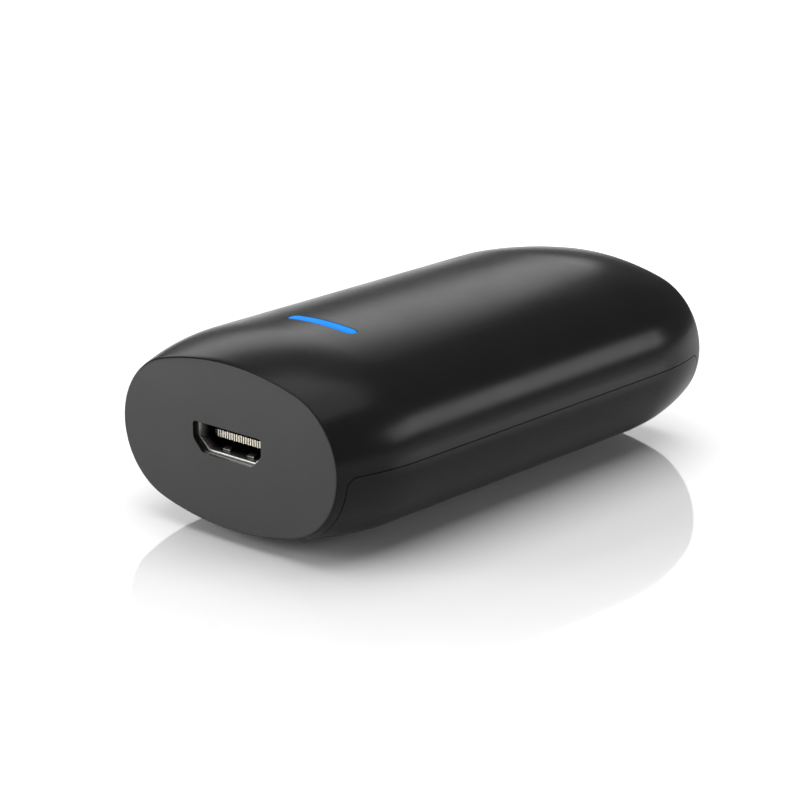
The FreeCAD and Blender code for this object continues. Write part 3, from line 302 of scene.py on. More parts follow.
class Signal:
    """A number that leaves a node, to reckon with as in ordinary sums."""

    def __init__(self, sheet: "Sheet", socket: bpy.types.NodeSocket) -> None:
        """Keep the socket and the sheet it belongs to."""
        self.sheet = sheet
        self.socket = socket

    def _sum(self, operation: str, first: "Number", second: "Number") -> "Signal":
        """Add a Math node on two values."""
        return self.sheet.node("ShaderNodeMath", {"operation": operation}, {0: first, 1: second})

    def __add__(self, other: "Number") -> "Signal":
        """This and another value together."""
        return self._sum("ADD", self, other)

    __radd__ = __add__

    def __sub__(self, other: "Number") -> "Signal":
        """This less another value."""
        return self._sum("SUBTRACT", self, other)

    def __rsub__(self, other: "Number") -> "Signal":
        """Another value less this."""
        return self._sum("SUBTRACT", other, self)

    def __mul__(self, other: "Number") -> "Signal":
        """This times another value."""
        return self._sum("MULTIPLY", self, other)

    __rmul__ = __mul__

    def __gt__(self, other: "Number") -> "Signal":
        """One where this is larger, else nought."""
        return self._sum("GREATER_THAN", self, other)

    def __abs__(self) -> "Signal":
        """This without its sign."""
        return self.sheet.node("ShaderNodeMath", {"operation": "ABSOLUTE"}, {0: self})


Number = Signal | float
Values = dict[str, object]


class Sheet:
    """The nodes of one material."""

    def __init__(self, name: str) -> None:
        """Start an empty material.

        Args:
            name: The material's name.
        """
        self.material = bpy.data.materials.new(name)
        self.material.use_nodes = True
        self.tree = self.material.node_tree
        self.tree.nodes.clear()

    def node(self, kind: str, settings: Mapping[str, object], values: Mapping[str | int, object],
             outlet: str | int = 0) -> Signal:
        """Add a node of any type.

        Args:
            kind: The node's type.
            settings: Its own properties, set first; "stops" are a ramp's places and colours.
            values: The value or the link of each named or numbered socket.
            outlet: The socket that the result is taken from.

        Returns:
            The chosen output, or the first input of a node that has no output.
        """
        made = self.tree.nodes.new(kind)
        for key, value in settings.items():
            if key == "stops":
                self._set_stops(made.color_ramp, value)
            else:
                setattr(made, key, value)
        for key, value in values.items():
            self.feed(made.inputs[key], value)
        return Signal(self, made.outputs[outlet] if len(made.outputs) else made.inputs[0])

    @staticmethod
    def _set_stops(ramp: bpy.types.ColorRamp, stops: Sequence[tuple[float, Colour]]) -> None:
        """Give a colour ramp its stops.

        Args:
            ramp: The ramp.
            stops: The place and the colour of each stop.
        """
        while len(ramp.elements) < len(stops):
            ramp.elements.new(1.0)
        for element, (place, colour) in zip(ramp.elements, stops):
            element.position = place
            element.color = colour

    def feed(self, socket: bpy.types.NodeSocket, value: object) -> None:
        """Link a signal to a socket, or set the socket's own value.

        Args:
            socket: The input socket.
            value: A signal, a number or a colour.
        """
        if isinstance(value, Signal):
            self.tree.links.new(value.socket, socket)
        else:
            socket.default_value = value

    def place(self) -> Signal:
        """The place on the piece, in metres."""
        return self.node("ShaderNodeTexCoord", {}, {}, "Object")

    def ray(self, kind: str) -> Signal:
        """One for rays of a kind, else nought."""
        return self.node("ShaderNodeLightPath", {}, {}, kind)

    def axis(self, place: Signal, name: str) -> Signal:
        """One coordinate of a place."""
        return self.node("ShaderNodeSeparateXYZ", {}, {0: place}, name)

    def stretched(self, place: Signal, scale: tuple[float, float, float]) -> Signal:
        """A place whose axes are scaled, so that a pattern runs along the least of them."""
        return self.node("ShaderNodeMapping", {}, {"Vector": place, "Scale": scale})

    def noise(self, place: Signal, size: float, detail: float = 2.0, rough: float = 0.5) -> Signal:
        """Soft random spots of about a given size, in metres, from nought to one."""
        values = {"Vector": place, "Scale": 1 / size, "Detail": detail, "Roughness": rough}
        return self.node("ShaderNodeTexNoise", {}, values)

    def cells(self, place: Signal, size: float) -> Signal:
        """The distance to the nearest of scattered points a given size apart."""
        return self.node("ShaderNodeTexVoronoi", {}, {"Vector": place, "Scale": 1 / size})

    def ramp(self, factor: Signal, stops: Sequence[tuple[float, Colour]]) -> Signal:
        """Colours along a number."""
        return self.node("ShaderNodeValToRGB", {"stops": stops}, {"Fac": factor})

    def blend(self, factor: Number, first: object, second: object) -> Signal:
        """A mix of two colours."""
        settings = {"data_type": "RGBA", "clamp_factor": True}
        return self.node("ShaderNodeMix", settings, {0: factor, 6: first, 7: second}, 2)

    def bump(self, height: Signal, depth: float) -> Signal:
        """A surface raised by a height from nought to one, times a depth in metres."""
        return self.node("ShaderNodeBump", {}, {"Height": height, "Distance": depth, "Strength": 1.0})

    def surface(self, values: Mapping[str, object]) -> bpy.types.Material:
        """Finish the material with one surface shader.

        Args:
            values: The shader's values and links.

        Returns:
            The material.
        """
        shader = self.node("ShaderNodeBsdfPrincipled", {}, values)
        self.node("ShaderNodeOutputMaterial", {}, {"Surface": shader})
        return self.material


# Finishes

@dataclass(frozen=True)
class Finish:
    """What every finish has: a name, a colour, a roughness and how far this spreads down and up."""

    name: str
    colour: Colour
    roughness: float
    spread: tuple[float, float] = (0.0, 0.0)

    def material(self) -> bpy.types.Material:
        """The finish as a material, which is made once.

        Returns:
            The material.
        """
        known = bpy.data.materials.get(self.name)
        if known:
            return known
        sheet = Sheet(self.name)
        return sheet.surface(self.values(sheet, sheet.place()))

    def gloss(self, pattern: Signal) -> Signal:
        """A roughness that goes from one end of its spread to the other with a pattern."""
        low, high = self.roughness - self.spread[0], self.roughness + self.spread[1]
        return low + pattern * (high - low)

    def values(self, sheet: Sheet, place: Signal) -> Values:
        """The surface shader's values, which each kind of finish gives.

        Args:
            sheet: The material's nodes.
            place: The place on the piece.

        Returns:
            The value or the link of each of the shader's sockets.
        """
        raise NotImplementedError


@dataclass(frozen=True)
class MouldedPlastic(Finish):
    """Plastic with the fine grain of a spark-eroded mould and faint soft clouds."""

    spread: tuple[float, float] = (0.05, 0.05)
    grain: float = 0.35 * MM
    grain_depth: float = 0.006 * MM
    cloud: float = 9 * MM
    cloud_share: float = 0.6
    shade_spread: float = 0.12
    specular: float = 0.4

    def patterns(self, sheet: Sheet, place: Signal) -> tuple[Signal, Signal]:
        """The clouds and the grain."""
        return sheet.noise(place, self.cloud, detail=3), sheet.noise(place, self.grain, detail=3, rough=0.6)

    def shaded(self, sheet: Sheet, place: Signal, colour: Colour) -> Signal:
        """A colour that the clouds and the grain make darker and lighter.

        Args:
            sheet: The material's nodes.
            place: The place on the piece.
            colour: The colour's middle tone.

        Returns:
            The colour.
        """
        clouds, grain = self.patterns(sheet, place)
        share = self.cloud_share * clouds + (1 - self.cloud_share) * grain
        return sheet.blend(share, toned(colour, 1 - self.shade_spread), toned(colour, 1 + self.shade_spread))

    def values(self, sheet: Sheet, place: Signal) -> Values:
        """Fine grain, faint cloudy shade and slightly uneven gloss; see Finish."""
        clouds, grain = self.patterns(sheet, place)
        return {
            "Base Color": self.shaded(sheet, place, self.colour),
            "Roughness": self.gloss(clouds),
            "Specular IOR Level": self.specular,
            "Normal": sheet.bump(grain, self.grain_depth),
        }


@dataclass(frozen=True)
class CasePlastic(MouldedPlastic):
    """The case's plastic, whose flat end faces are a little paler than the rest, partly their own colour and
    partly painted light.
    """

    # Partly painted light: the end faces' paler colour also stands in for the light that falls on the near
    # face
    face_colour_with_painted_light: Colour = grey(0.058)
    face_y: float = 45.6 * MM

    def values(self, sheet: Sheet, place: Signal) -> Values:
        """The plastic's values, with the paler colour, partly painted light, beyond where the end faces
        start; see Finish.
        """
        values = super().values(sheet, place)
        on_face = abs(sheet.axis(place, "Y")) > self.face_y
        # The paler face colour, partly painted light
        face = self.shaded(sheet, place, self.face_colour_with_painted_light)
        values["Base Color"] = sheet.blend(on_face, values["Base Color"], face)
        return values


@dataclass(frozen=True)
class Rubber(Finish):
    """Soft matte rubber with a fine pebbled skin and a trace of dust."""

    spread: tuple[float, float] = (0.08, 0.05)
    pebble: float = 0.5 * MM
    pebble_depth: float = 0.03 * MM
    dust: float = 6 * MM
    dust_tone: float = 2.2
    specular: float = 0.35

    def values(self, sheet: Sheet, place: Signal) -> Values:
        """Pebbles, and dust that lies between them; see Finish."""
        pebbles = sheet.cells(place, self.pebble)
        dust = sheet.noise(place, self.dust, detail=4)
        return {
            "Base Color": sheet.blend(dust * pebbles, self.colour, toned(self.colour, self.dust_tone)),
            "Roughness": self.gloss(dust),
            "Specular IOR Level": self.specular,
            "Normal": sheet.bump(1 - pebbles, self.pebble_depth),
        }


@dataclass(frozen=True)
class LitGuide(Finish):
    """Clear moulded bar lit from below, a little brighter in the middle than at its edges."""

    edge_colour: Colour = rgb(0.0, 0.14, 0.75)
    body_colour: Colour = rgb(0.0, 0.01, 0.04)
    strength: float = 1.0
    half_width: float = 1.15 * MM
    middle_y: float = 0.0
    edge_loss: float = 0.5
    mark: float = 0.8 * MM
    mark_stretch: tuple[float, float, float] = (0.2, 1.0, 1.0)
    mark_loss: float = 0.12
    mark_depth: float = 0.004 * MM
    specular: float = 0.02

    def values(self, sheet: Sheet, place: Signal) -> Values:
        """Light that falls off towards the bar's long edges, with faint flow marks; see Finish."""
        side = abs(sheet.axis(place, "Y") - self.middle_y) * (1 / self.half_width)
        marks = sheet.noise(sheet.stretched(place, self.mark_stretch), self.mark)
        glow = 1 - side * side * self.edge_loss - marks * self.mark_loss
        return {
            "Base Color": self.body_colour,
            "Roughness": self.roughness,
            "Specular IOR Level": self.specular,
            "Emission Color": sheet.blend(glow, self.edge_colour, self.colour),
            "Emission Strength": self.strength,
            "Normal": sheet.bump(marks, self.mark_depth),
        }


@dataclass(frozen=True)
class Metal(Finish):
    """Plated or bare metal with fine lines along one axis and faint tarnish."""

    spread: tuple[float, float] = (0.08, 0.12)
    lines: tuple[float, float, float] = (1.0, 0.04, 1.0)
    line_size: float = 0.12 * MM
    line_depth: float = 0.002 * MM
    line_share: float = 0.5
    patch: float = 2.5 * MM
    tarnish: Colour = rgb(0.25, 0.24, 0.22)
    tarnish_share: float = 0.25

    def values(self, sheet: Sheet, place: Signal) -> Values:
        """Lines in the gloss and the height, and tarnish in soft patches; see Finish."""
        lines = sheet.noise(sheet.stretched(place, self.lines), self.line_size, detail=4)
        patches = sheet.noise(place, self.patch, detail=3)
        return {
            "Base Color": sheet.blend(patches * self.tarnish_share, self.colour, self.tarnish),
            "Metallic": 1.0,
            "Roughness": self.gloss(self.line_share * lines + (1 - self.line_share) * patches),
            "Normal": sheet.bump(lines, self.line_depth),
        }


@dataclass(frozen=True)
class SteelWithPaintedShade(Metal):
    """Steel that is bright at its front rim and darkened farther in by painted shade."""

    # Painted shade: from the rim, over the depth, the colour goes to a dark grey where the shell's inside
    # lies in shade
    rim: float = 0.0
    depth: float = 2.2 * MM
    painted_shade_colour: Colour = grey(0.03)

    def values(self, sheet: Sheet, place: Signal) -> Values:
        """The metal's values, with painted shade that darkens the colour behind the rim; see Finish."""
        values = super().values(sheet, place)
        # Painted shade, darker with the distance behind the rim
        inside = (sheet.axis(place, "Y") - self.rim) * (1 / self.depth)
        values["Base Color"] = sheet.blend(inside, values["Base Color"], self.painted_shade_colour)
        return values


@dataclass(frozen=True)
class Laminate(Finish):
    """Circuit board: a lacquer over copper tracks that show as faint raised lines."""

    spread: tuple[float, float] = (0.0, 0.12)
    track: Colour = rgb(0.012, 0.03, 0.02)
    # The tracks' width and blur and the holes' radius are shares of their pitch
    track_pitch: float = 7 * MM
    track_width: float = 0.04
    track_blur: float = 0.1
    plating: Colour = rgb(0.55, 0.5, 0.35)
    hole_pitch: float = 2.1 * MM
    hole_radius: float = 0.12
    weave: float = 0.5 * MM
    weave_share: float = 0.3
    relief: float = 0.03 * MM
    lacquer: float = 0.3

    def values(self, sheet: Sheet, place: Signal) -> Values:
        """Tracks in square turns, small plated holes and a slightly wavy lacquer; see Finish."""
        tracks = sheet.node("ShaderNodeTexBrick", {"offset": 0.37, "squash": 0.6, "squash_frequency": 3}, {
            "Vector": place, "Scale": 1 / self.track_pitch, "Mortar Size": self.track_width,
            "Mortar Smooth": self.track_blur, "Color1": grey(0), "Color2": grey(0), "Mortar": grey(1),
        }, "Fac")
        holes = 1 - (sheet.cells(place, self.hole_pitch) > self.hole_radius)
        weave = sheet.noise(place, self.weave)
        lines = sheet.blend(tracks, self.colour, self.track)
        return {
            "Base Color": sheet.blend(holes, lines, self.plating),
            "Roughness": self.gloss(weave),
            "Coat Weight": self.lacquer,
            "Normal": sheet.bump(tracks + self.weave_share * weave, self.relief),
        }


@dataclass(frozen=True)
class Moulding(Finish):
    """Small moulded or pressed electronic piece with a sandy skin."""

    spread: tuple[float, float] = (0.1, 0.1)
    speck: Colour = grey(0.09)
    speck_size: float = 0.25 * MM
    speck_start: float = 0.55
    speck_full: float = 0.75
    relief: float = 0.01 * MM

    def values(self, sheet: Sheet, place: Signal) -> Values:
        """Sandy skin with paler specks; see Finish."""
        sand = sheet.noise(place, self.speck_size, detail=4, rough=0.7)
        specks = sheet.ramp(sand, ((self.speck_start, grey(0)), (self.speck_full, grey(1))))
        return {
            "Base Color": sheet.blend(specks, self.colour, self.speck),
            "Roughness": self.gloss(sand),
            "Normal": sheet.bump(sand, self.relief),
        }


@dataclass(frozen=True)
class Windings(Finish):
    """Enamelled wire laid in turns, one above the other."""

    spread: tuple[float, float] = (-0.15, 0.0)
    wave_scale: float = 1 / (6 * MM)
    unevenness: float = 0.4
    shadow_tone: float = 0.25
    metallic: float = 0.6
    relief: float = 0.08 * MM

    def values(self, sheet: Sheet, place: Signal) -> Values:
        """Round turns with dark lines between them; see Finish."""
        values = {"Vector": place, "Scale": self.wave_scale, "Distortion": self.unevenness, "Detail": 1.0}
        turns = sheet.node("ShaderNodeTexWave", {"bands_direction": "Z", "wave_type": "BANDS"}, values, "Fac")
        return {
            "Base Color": sheet.blend(turns, toned(self.colour, self.shadow_tone), self.colour),
            "Metallic": self.metallic,
            "Roughness": self.gloss(turns),
            "Normal": sheet.bump(turns, self.relief),
        }


CASE_BLACK = CasePlastic("case_plastic", grey(0.013), 0.23, specular=0.1)
SLEEVE_BLACK = MouldedPlastic("sleeve_plastic", grey(0.012), 0.6)
SOCKET_BLACK = MouldedPlastic("socket_plastic", grey(0.008), 0.45, grain=0.12 * MM)
FOOT_RUBBER = Rubber("foot_rubber", grey(0.018), 0.8)
SHIELD_STEEL = Metal("shield_steel", rgb(0.55, 0.54, 0.52), 0.34)
SCREW_STEEL = Metal("screw_steel", rgb(0.22, 0.21, 0.2), 0.36, lines=(1.0, 1.0, 0.1))
CONTACT_GOLD = Metal("contact_gold", rgb(0.5, 0.47, 0.4), 0.3, tarnish=rgb(0.45, 0.4, 0.32))
SPRING_STEEL = Metal("spring_steel", rgb(0.5, 0.49, 0.47), 0.3)
SINK_ALUMINIUM = Metal("sink_aluminium", rgb(0.7, 0.71, 0.72), 0.42, line_size=0.3 * MM)
CAN_ALUMINIUM = Metal("can_aluminium", rgb(0.78, 0.78, 0.79), 0.3, lines=(1.0, 1.0, 0.05))
BOARD_LACQUER = Laminate("board_lacquer", rgb(0.004, 0.011, 0.008), 0.32)
CHIP_RESIN = Moulding("chip_resin", grey(0.02), 0.55, speck=grey(0.05))
PAD_SILICONE = Moulding("pad_silicone", rgb(0.35, 0.38, 0.42), 0.75, speck=rgb(0.5, 0.52, 0.55))
FERRITE_GREY = Moulding("ferrite_grey", grey(0.045), 0.65, speck=grey(0.11))
CERAMIC_TAN = Moulding("ceramic_tan", rgb(0.32, 0.2, 0.11), 0.45, speck=rgb(0.42, 0.3, 0.18))
BUTTON_GREY = MouldedPlastic("button_plastic", grey(0.12), 0.5, grain=0.1 * MM)
WINDING_COPPER = Windings("winding_copper", rgb(0.75, 0.3, 0.12), 0.3)
LAMP_LENS = LitGuide("lamp_lens", rgb(0.03, 0.35, 1.0), 0.3, strength=1.5)


def dress(piece: Piece, finish: Finish) -> None:
    """Give a piece one finish all over and report it.

    Args:
        piece: A new piece or a construction node's object.
        finish: The finish.
    """
    if piece.material_slots:
        for slot in piece.material_slots:
            slot.material = finish.material()
    else:
        piece.data.materials.append(finish.material())
    LOG.info("%s: %d faces, %s", piece.name, len(piece.data.polygons), finish.name)


def fit(piece: Piece, finish: Finish, body: str = PLAYER) -> None:
    """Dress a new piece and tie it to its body.

    Args:
        piece: The new piece.
        finish: Its finish.
        body: The body that it rides on.
    """
    dress(piece, finish)
    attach(piece, body)


# Case

@dataclass
class CaseForm:
    """The oval case form: straight in the middle and drawn in towards both flat ends."""

    width: float
    height: float
    length: float
    middle_z: float
    roof_angle: float = math.radians(16.2)
    taper_length: float = 15.5 * MM
    taper_side: float = 3.05 * MM
    taper_top: float = 2.0 * MM
    roof_steps: int = 20
    side_steps: int = 40
    straight_steps: int = 12
    taper_steps: int = 14
    ring_join: float = 0.02 * MM
    softness: float = 0.5
    softening: int = 3

    @property
    def straight_half(self) -> float:
        """Half the length of the straight part."""
        return self.length / 2 - self.taper_length

    def halves(self, y: float, inset: float) -> tuple[float, float]:
        """Half the width and half the height of the section at a station.

        Args:
            y: The station.
            inset: How far the form is drawn in.

        Returns:
            Half the width and half the height.
        """
        along = max(abs(y) - self.straight_half, 0) / self.taper_length
        return (self.width / 2 - self.taper_side * along ** 2 - inset,
                self.height / 2 - self.taper_top * along ** 2 - inset)

    def ring(self, name: str, inset: float) -> Piece:
        """The section's outline where the straight part starts, turned from one corner point.

        Args:
            name: The object's name.
            inset: How far the form is drawn in.

        Returns:
            A closed ring of edges.
        """
        half_width, half_height = self.halves(0, inset)
        angle, y = self.roof_angle, -self.straight_half
        spread = (half_width - half_height) / (math.cos(angle) + math.sin(angle) - 1)
        side = half_width - spread * math.sin(angle)
        roof = side + spread
        start_z = self.middle_z + half_height - roof * (1 - math.cos(angle))
        deselect_all()
        bpy.ops.mesh.primitive_plane_add(size=MM, location=(-roof * math.sin(angle), y, start_z))
        outline = settle(bpy.context.object, name)
        side_x = half_width - side
        turns = (
            (0.0, half_height - roof, 2 * angle, self.roof_steps),
            (side_x, 0.0, math.pi - 2 * angle, self.side_steps),
            (0.0, roof - half_height, 2 * angle, self.roof_steps),
            (-side_x, 0.0, math.pi - 2 * angle, self.side_steps),
        )
        with editing(outline):
            bpy.ops.mesh.merge(type="CENTER")
            for x, up, turn, steps in turns:
                centre = (x, y, self.middle_z + up)
                bpy.ops.mesh.spin(steps=steps, angle=-turn, center=centre, axis=(0, 1, 0))
            bpy.ops.mesh.select_all(action="SELECT")
            bpy.ops.mesh.remove_doubles(threshold=self.ring_join)
            bpy.ops.mesh.vertices_smooth(factor=self.softness, repeat=self.softening)
            self._restore(outline, inset)
        return outline

    def _restore(self, outline: Piece, inset: float) -> None:
        """In edit mode, bring a softened ring back to its full width and height.

        Args:
            outline: The ring.
            inset: How far the form is drawn in.
        """
        half_width, half_height = self.halves(0, inset)
        mesh = bmesh.from_edit_mesh(outline.data)
        wide = max(corner.co.x for corner in mesh.verts)
        high = max(corner.co.z for corner in mesh.verts) - self.middle_z
        bpy.ops.transform.resize(value=(half_width / wide, 1, half_height / high),
                                 center_override=(0, -self.straight_half, self.middle_z))

    def stations(self, end: float) -> list[float]:
        """Stations from the middle of the straight part outwards to an end."""
        reach = end - self.straight_half
        return [self.straight_half + reach * (i + 1) / self.taper_steps for i in range(self.taper_steps)]

    def pull(self, y_from: float, y_to: float, inset: float) -> None:
        """In edit mode, extrude the selected ring to the next station and bring it to its size there.

        Args:
            y_from: The ring's station.
            y_to: The next station.
            inset: How far the form is drawn in.
        """
        bpy.ops.mesh.extrude_edges_move(TRANSFORM_OT_translate={"value": (0, y_to - y_from, 0)})
        before, after = self.halves(y_from, inset), self.halves(y_to, inset)
        bpy.ops.transform.resize(value=(after[0] / before[0], 1, after[1] / before[1]),
                                 center_override=(0, y_to, self.middle_z))

    def body(self, name: str, inset: float, end: float) -> Piece:
        """A closed body of the form with a flat face at each end.

        Args:
            name: The object's name.
            inset: How far the form is drawn in.
            end: Where its flat faces lie, counted from the middle.

        Returns:
            The new object.
        """
        piece = self.ring(name, inset)
        start = -self.straight_half
        step = 2 * self.straight_half / self.straight_steps
        places = [start + step * (i + 1) for i in range(self.straight_steps)] + self.stations(end)
        with editing(piece):
            here = start
            for there in places:
                self.pull(here, there, inset)
                here = there
            bpy.ops.mesh.edge_face_add()
            pick(piece, Part.EDGES, lambda place: abs(place.y - start) < NEAR)
            here = start
            for there in self.stations(end):
                self.pull(here, -there, inset)
                here = -there
            bpy.ops.mesh.edge_face_add()
            bpy.ops.mesh.select_all(action="SELECT")
            bpy.ops.mesh.normals_make_consistent(inside=False)
        return piece


@dataclass
class Case:
    """Upper housing and lower cover."""

    wall: float = 1.8 * MM
    end_wall: float = 1.6 * MM
    seam_gap: float = 0.15 * MM
    seam_corner: float = 2.0 * MM
    seam_corner_steps: int = 12
    rim_radius: float = 0.4 * MM
    rim_steps: int = 4
    foot_proud: float = 0.3 * MM

    def __post_init__(self) -> None:
        """Take the case's size from the construction."""
        low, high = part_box("upper_housing")
        height = high.z - self.foot_proud
        self.form = CaseForm(high.x - low.x, height, high.y - low.y, high.z - height / 2)
        self.end = high.y
        self.inner_end = high.y - self.end_wall

    def solid(self, name: str) -> Piece:
        """The case as one hollow body with a softened rim round each flat end.

        Args:
            name: The object's name.

        Returns:
            The new object.
        """
        outer = self.form.body(name, 0, self.end)
        with editing(outer):
            pick(outer, Part.EDGES, lambda place: abs(abs(place.y) - self.end) < NEAR)
            bpy.ops.mesh.bevel(offset=self.rim_radius, offset_type="OFFSET", segments=self.rim_steps,
                               affect="EDGES")
        carve(outer, self.form.body("room", self.wall, self.inner_end))
        return outer

    def zone(self, gap: float) -> Piece:
        """Everything below the parting line, whose upper corners are rounded.

        Args:
            gap: How far it is drawn in from the line.

        Returns:
            A cutter.
        """
        far = self.form.width
        reach = self.inner_end - gap
        top = self.form.middle_z - gap
        zone = block("zone", Vector((-far, -reach, -far)), Vector((far, reach, top)))
        round_edges(zone, Vector((1, 0, 0)), self.seam_corner - gap, self.seam_corner_steps,
                    lambda place: place.z > 0)
        return zone

    def build(self, cutters: Sequence[Piece], pocket: Piece) -> None:
        """Make both halves and dress them.

        Args:
            cutters: The openings in the housing, used up here.
            pocket: The foot's recess in the cover, used up here.
        """
        housing = self.solid("case_housing")
        cover = copied(housing, "case_cover")
        carve(housing, self.zone(0))
        for cutter in cutters:
            carve(housing, cutter)
        carve(cover, self.zone(self.seam_gap), Carve.KEEP)
        carve(cover, pocket)
        for piece, node in ((housing, "upper_housing"), (cover, "lower_cover")):
            smooth(piece)
            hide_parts(node)
            fit(piece, CASE_BLACK)


# Sockets, light, button and foot

@dataclass
class VideoSocket:
    """Folded shell with floor springs, its insulator and the contacts."""

    sheet: float = 0.35 * MM
    corner: float = 0.5 * MM
    corner_steps: int = 4
    side_height: float = 2.85 * MM
    floor_narrowing: float = 4.05 * MM
    opening_height: float = 4.55 * MM
    side_space: float = 0.05 * MM
    shell_edge: float = 0.1 * MM
    shell_edge_steps: int = 3
    insulator_edge: float = 0.04 * MM
    contact_edge: float = 0.02 * MM
    forward: float = 0.5 * MM
    rim_depth: float = 0.3 * MM
    roof_depth: float = 0.2 * MM
    tongue_rise: float = 0.15 * MM
    hook_depth: float = 3.0 * MM
    hook_end: float = 0.17 * MM
    hook_spare: float = 0.05 * MM
    hook_growth: float = 0.38 * MM

    def __post_init__(self) -> None:
        """Take the socket's place from the construction."""
        self.low, self.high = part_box("hdmi_shell")
        self.top = self.high.z - self.sheet
        self.half = self.high.x - self.sheet
        self.tongue = self.top - self.opening_height / 2 + self.tongue_rise

    def cutout(self) -> Piece:
        """The cutter for the housing's opening, D-shaped and with space at the shell's sides and floor.

        Returns:
            The cutter.
        """
        grow = self.sheet + self.side_space
        floor = self.top - self.opening_height - grow
        wide, narrow = self.half + grow, self.half - self.floor_narrowing / 2 + grow
        cutter = block("socket_cut", Vector((-wide, self.low.y - CUT_OUTSIDE, floor)),
                       Vector((wide, self.low.y + CUT_INSIDE, self.top)))
        with editing(cutter):
            bpy.ops.mesh.bisect(plane_co=(0, 0, self.top - self.side_height), plane_no=(0, 0, 1))
            pick(cutter, Part.FACES, lambda place: place.z < floor + NEAR)
            bpy.ops.transform.resize(value=(narrow / wide, 1, 1), center_override=(0, 0, floor))
        round_edges(cutter, Vector((0, 1, 0)), self.corner, self.corner_steps)
        return cutter

    def shell(self) -> Piece:
        """The folded shell, whose rim is brought forward into the wall's opening below the roof.

        Returns:
            The new piece, not yet dressed.
        """
        shell = eased("hdmi_shell", "video_socket_shell", self.shell_edge, self.shell_edge_steps)
        rim, roof = self.low.y + self.rim_depth, self.top - self.roof_depth
        with editing(shell):
            pick(shell, Part.EDGES, lambda place: place.y < rim and place.z < roof)
            bpy.ops.transform.translate(value=(0, -self.forward, 0))
        return shell

    def draw_out(self, contacts: Piece, side: int) -> None:
        """Lengthen one row's hooks, so that both rows cover the front of the tongue.

        Args:
            contacts: The contacts of both rows.
            side: The way the row's hooks point, 1 up from the lower row and -1 down from the upper.
        """
        end = self.tongue + side * self.hook_end
        front = self.low.y + self.hook_depth
        with editing(contacts):
            pick(contacts, Part.EDGES, lambda place: place.y < front and abs(place.z - end) < self.hook_spare)
            bpy.ops.transform.translate(value=(0, 0, side * self.hook_growth))

    def build(self) -> None:
        """Make the socket's visible pieces."""
        # The shell's steel gets painted shade farther in from its rim
        steel = SteelWithPaintedShade("socket_steel_painted_shade", rgb(0.9, 0.89, 0.87), 0.36, tarnish_share=0.1,
                           rim=self.low.y - self.forward)
        fit(self.shell(), steel)
        fit(eased("hdmi_insulator", "video_socket_insulator", self.insulator_edge), SOCKET_BLACK)
        contacts = eased("hdmi_contacts", "video_socket_contacts", self.contact_edge, steps=1)
        self.draw_out(contacts, -1)
        self.draw_out(contacts, 1)
        fit(contacts, CONTACT_GOLD)


@dataclass
class NetworkSocket:
    """Shield, insert and wires of the far socket."""

    width: float = 16.0 * MM
    space: float = 0.25 * MM
    corner: float = 0.5 * MM
    corner_steps: int = 4
    shield_edge: float = 0.08 * MM
    insert_edge: float = 0.06 * MM
    wire_edge: float = 0.04 * MM

    def cutout(self) -> Piece:
        """The cutter for the housing's opening round the shield.

        Returns:
            The cutter.
        """
        low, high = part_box("ethernet_jack_shield")
        half = self.width / 2 + self.space
        cutter = block("jack_cut", Vector((-half, high.y - CUT_INSIDE, low.z - self.space)),
                       Vector((half, high.y + CUT_OUTSIDE, high.z + self.space)))
        round_edges(cutter, Vector((0, 1, 0)), self.corner, self.corner_steps)
        return cutter

    def build(self) -> None:
        """Make the socket's visible pieces."""
        fit(eased("ethernet_jack_shield", "network_socket_shield", self.shield_edge), SHIELD_STEEL)
        insert = eased("ethernet_jack_insert", "network_socket_insert", self.insert_edge)
        fit(insert, SOCKET_BLACK)
        fit(eased("ethernet_contacts", "network_socket_wires", self.wire_edge), CONTACT_GOLD)


def stadium(name: str, low: Vector, high: Vector) -> Piece:
    """An upright block whose two short ends are half round.

    Args:
        name: The object's name.
        low: Its lowest corner.
        high: Its highest corner.

    Returns:
        The new object.
    """
    piece = block(name, low, high)
    size = high - low
    nearly_half = 0.49995  # a full half would merge the ends of two rounds
    quarter_steps = 16
    round_edges(piece, Vector((0, 0, 1)), min(size.x, size.y) * nearly_half, quarter_steps)
    return piece


@dataclass
class StatusLight:
    """The bar of light in the roof, its slot and the parts below it."""

    length: float = 14.0 * MM
    width: float = 2.3 * MM
    clearance: float = 0.1 * MM
    cut_reach: float = 4.0 * MM
    edge: float = 0.12 * MM
    edge_steps: int = 3

    def __post_init__(self) -> None:
        """Take the bar's place from the construction."""
        low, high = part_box("status_light_bar")
        self.y = (low.y + high.y) / 2
        self.top = high.z

    def cutout(self) -> Piece:
        """The cutter for the slot in the roof.

        Returns:
            The cutter.
        """
        half = Vector((self.length / 2 + self.clearance, self.width / 2 + self.clearance, self.cut_reach))
        middle = Vector((0, self.y, self.top))
        return stadium("light_cut", middle - half, middle + half)

    def build(self) -> None:
        """Make the bar and dress what is below it."""
        glow = LitGuide("status_bar_glow", rgb(0.008, 0.33, 1.0), 0.4,
                        half_width=self.width / 2, middle_y=self.y)
        fit(eased("status_light_bar", "status_bar_lens", self.edge, self.edge_steps), glow)
        dress(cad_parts["light_bar_sleeve"], SLEEVE_BLACK)
        dress(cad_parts["status_leds"], LAMP_LENS)


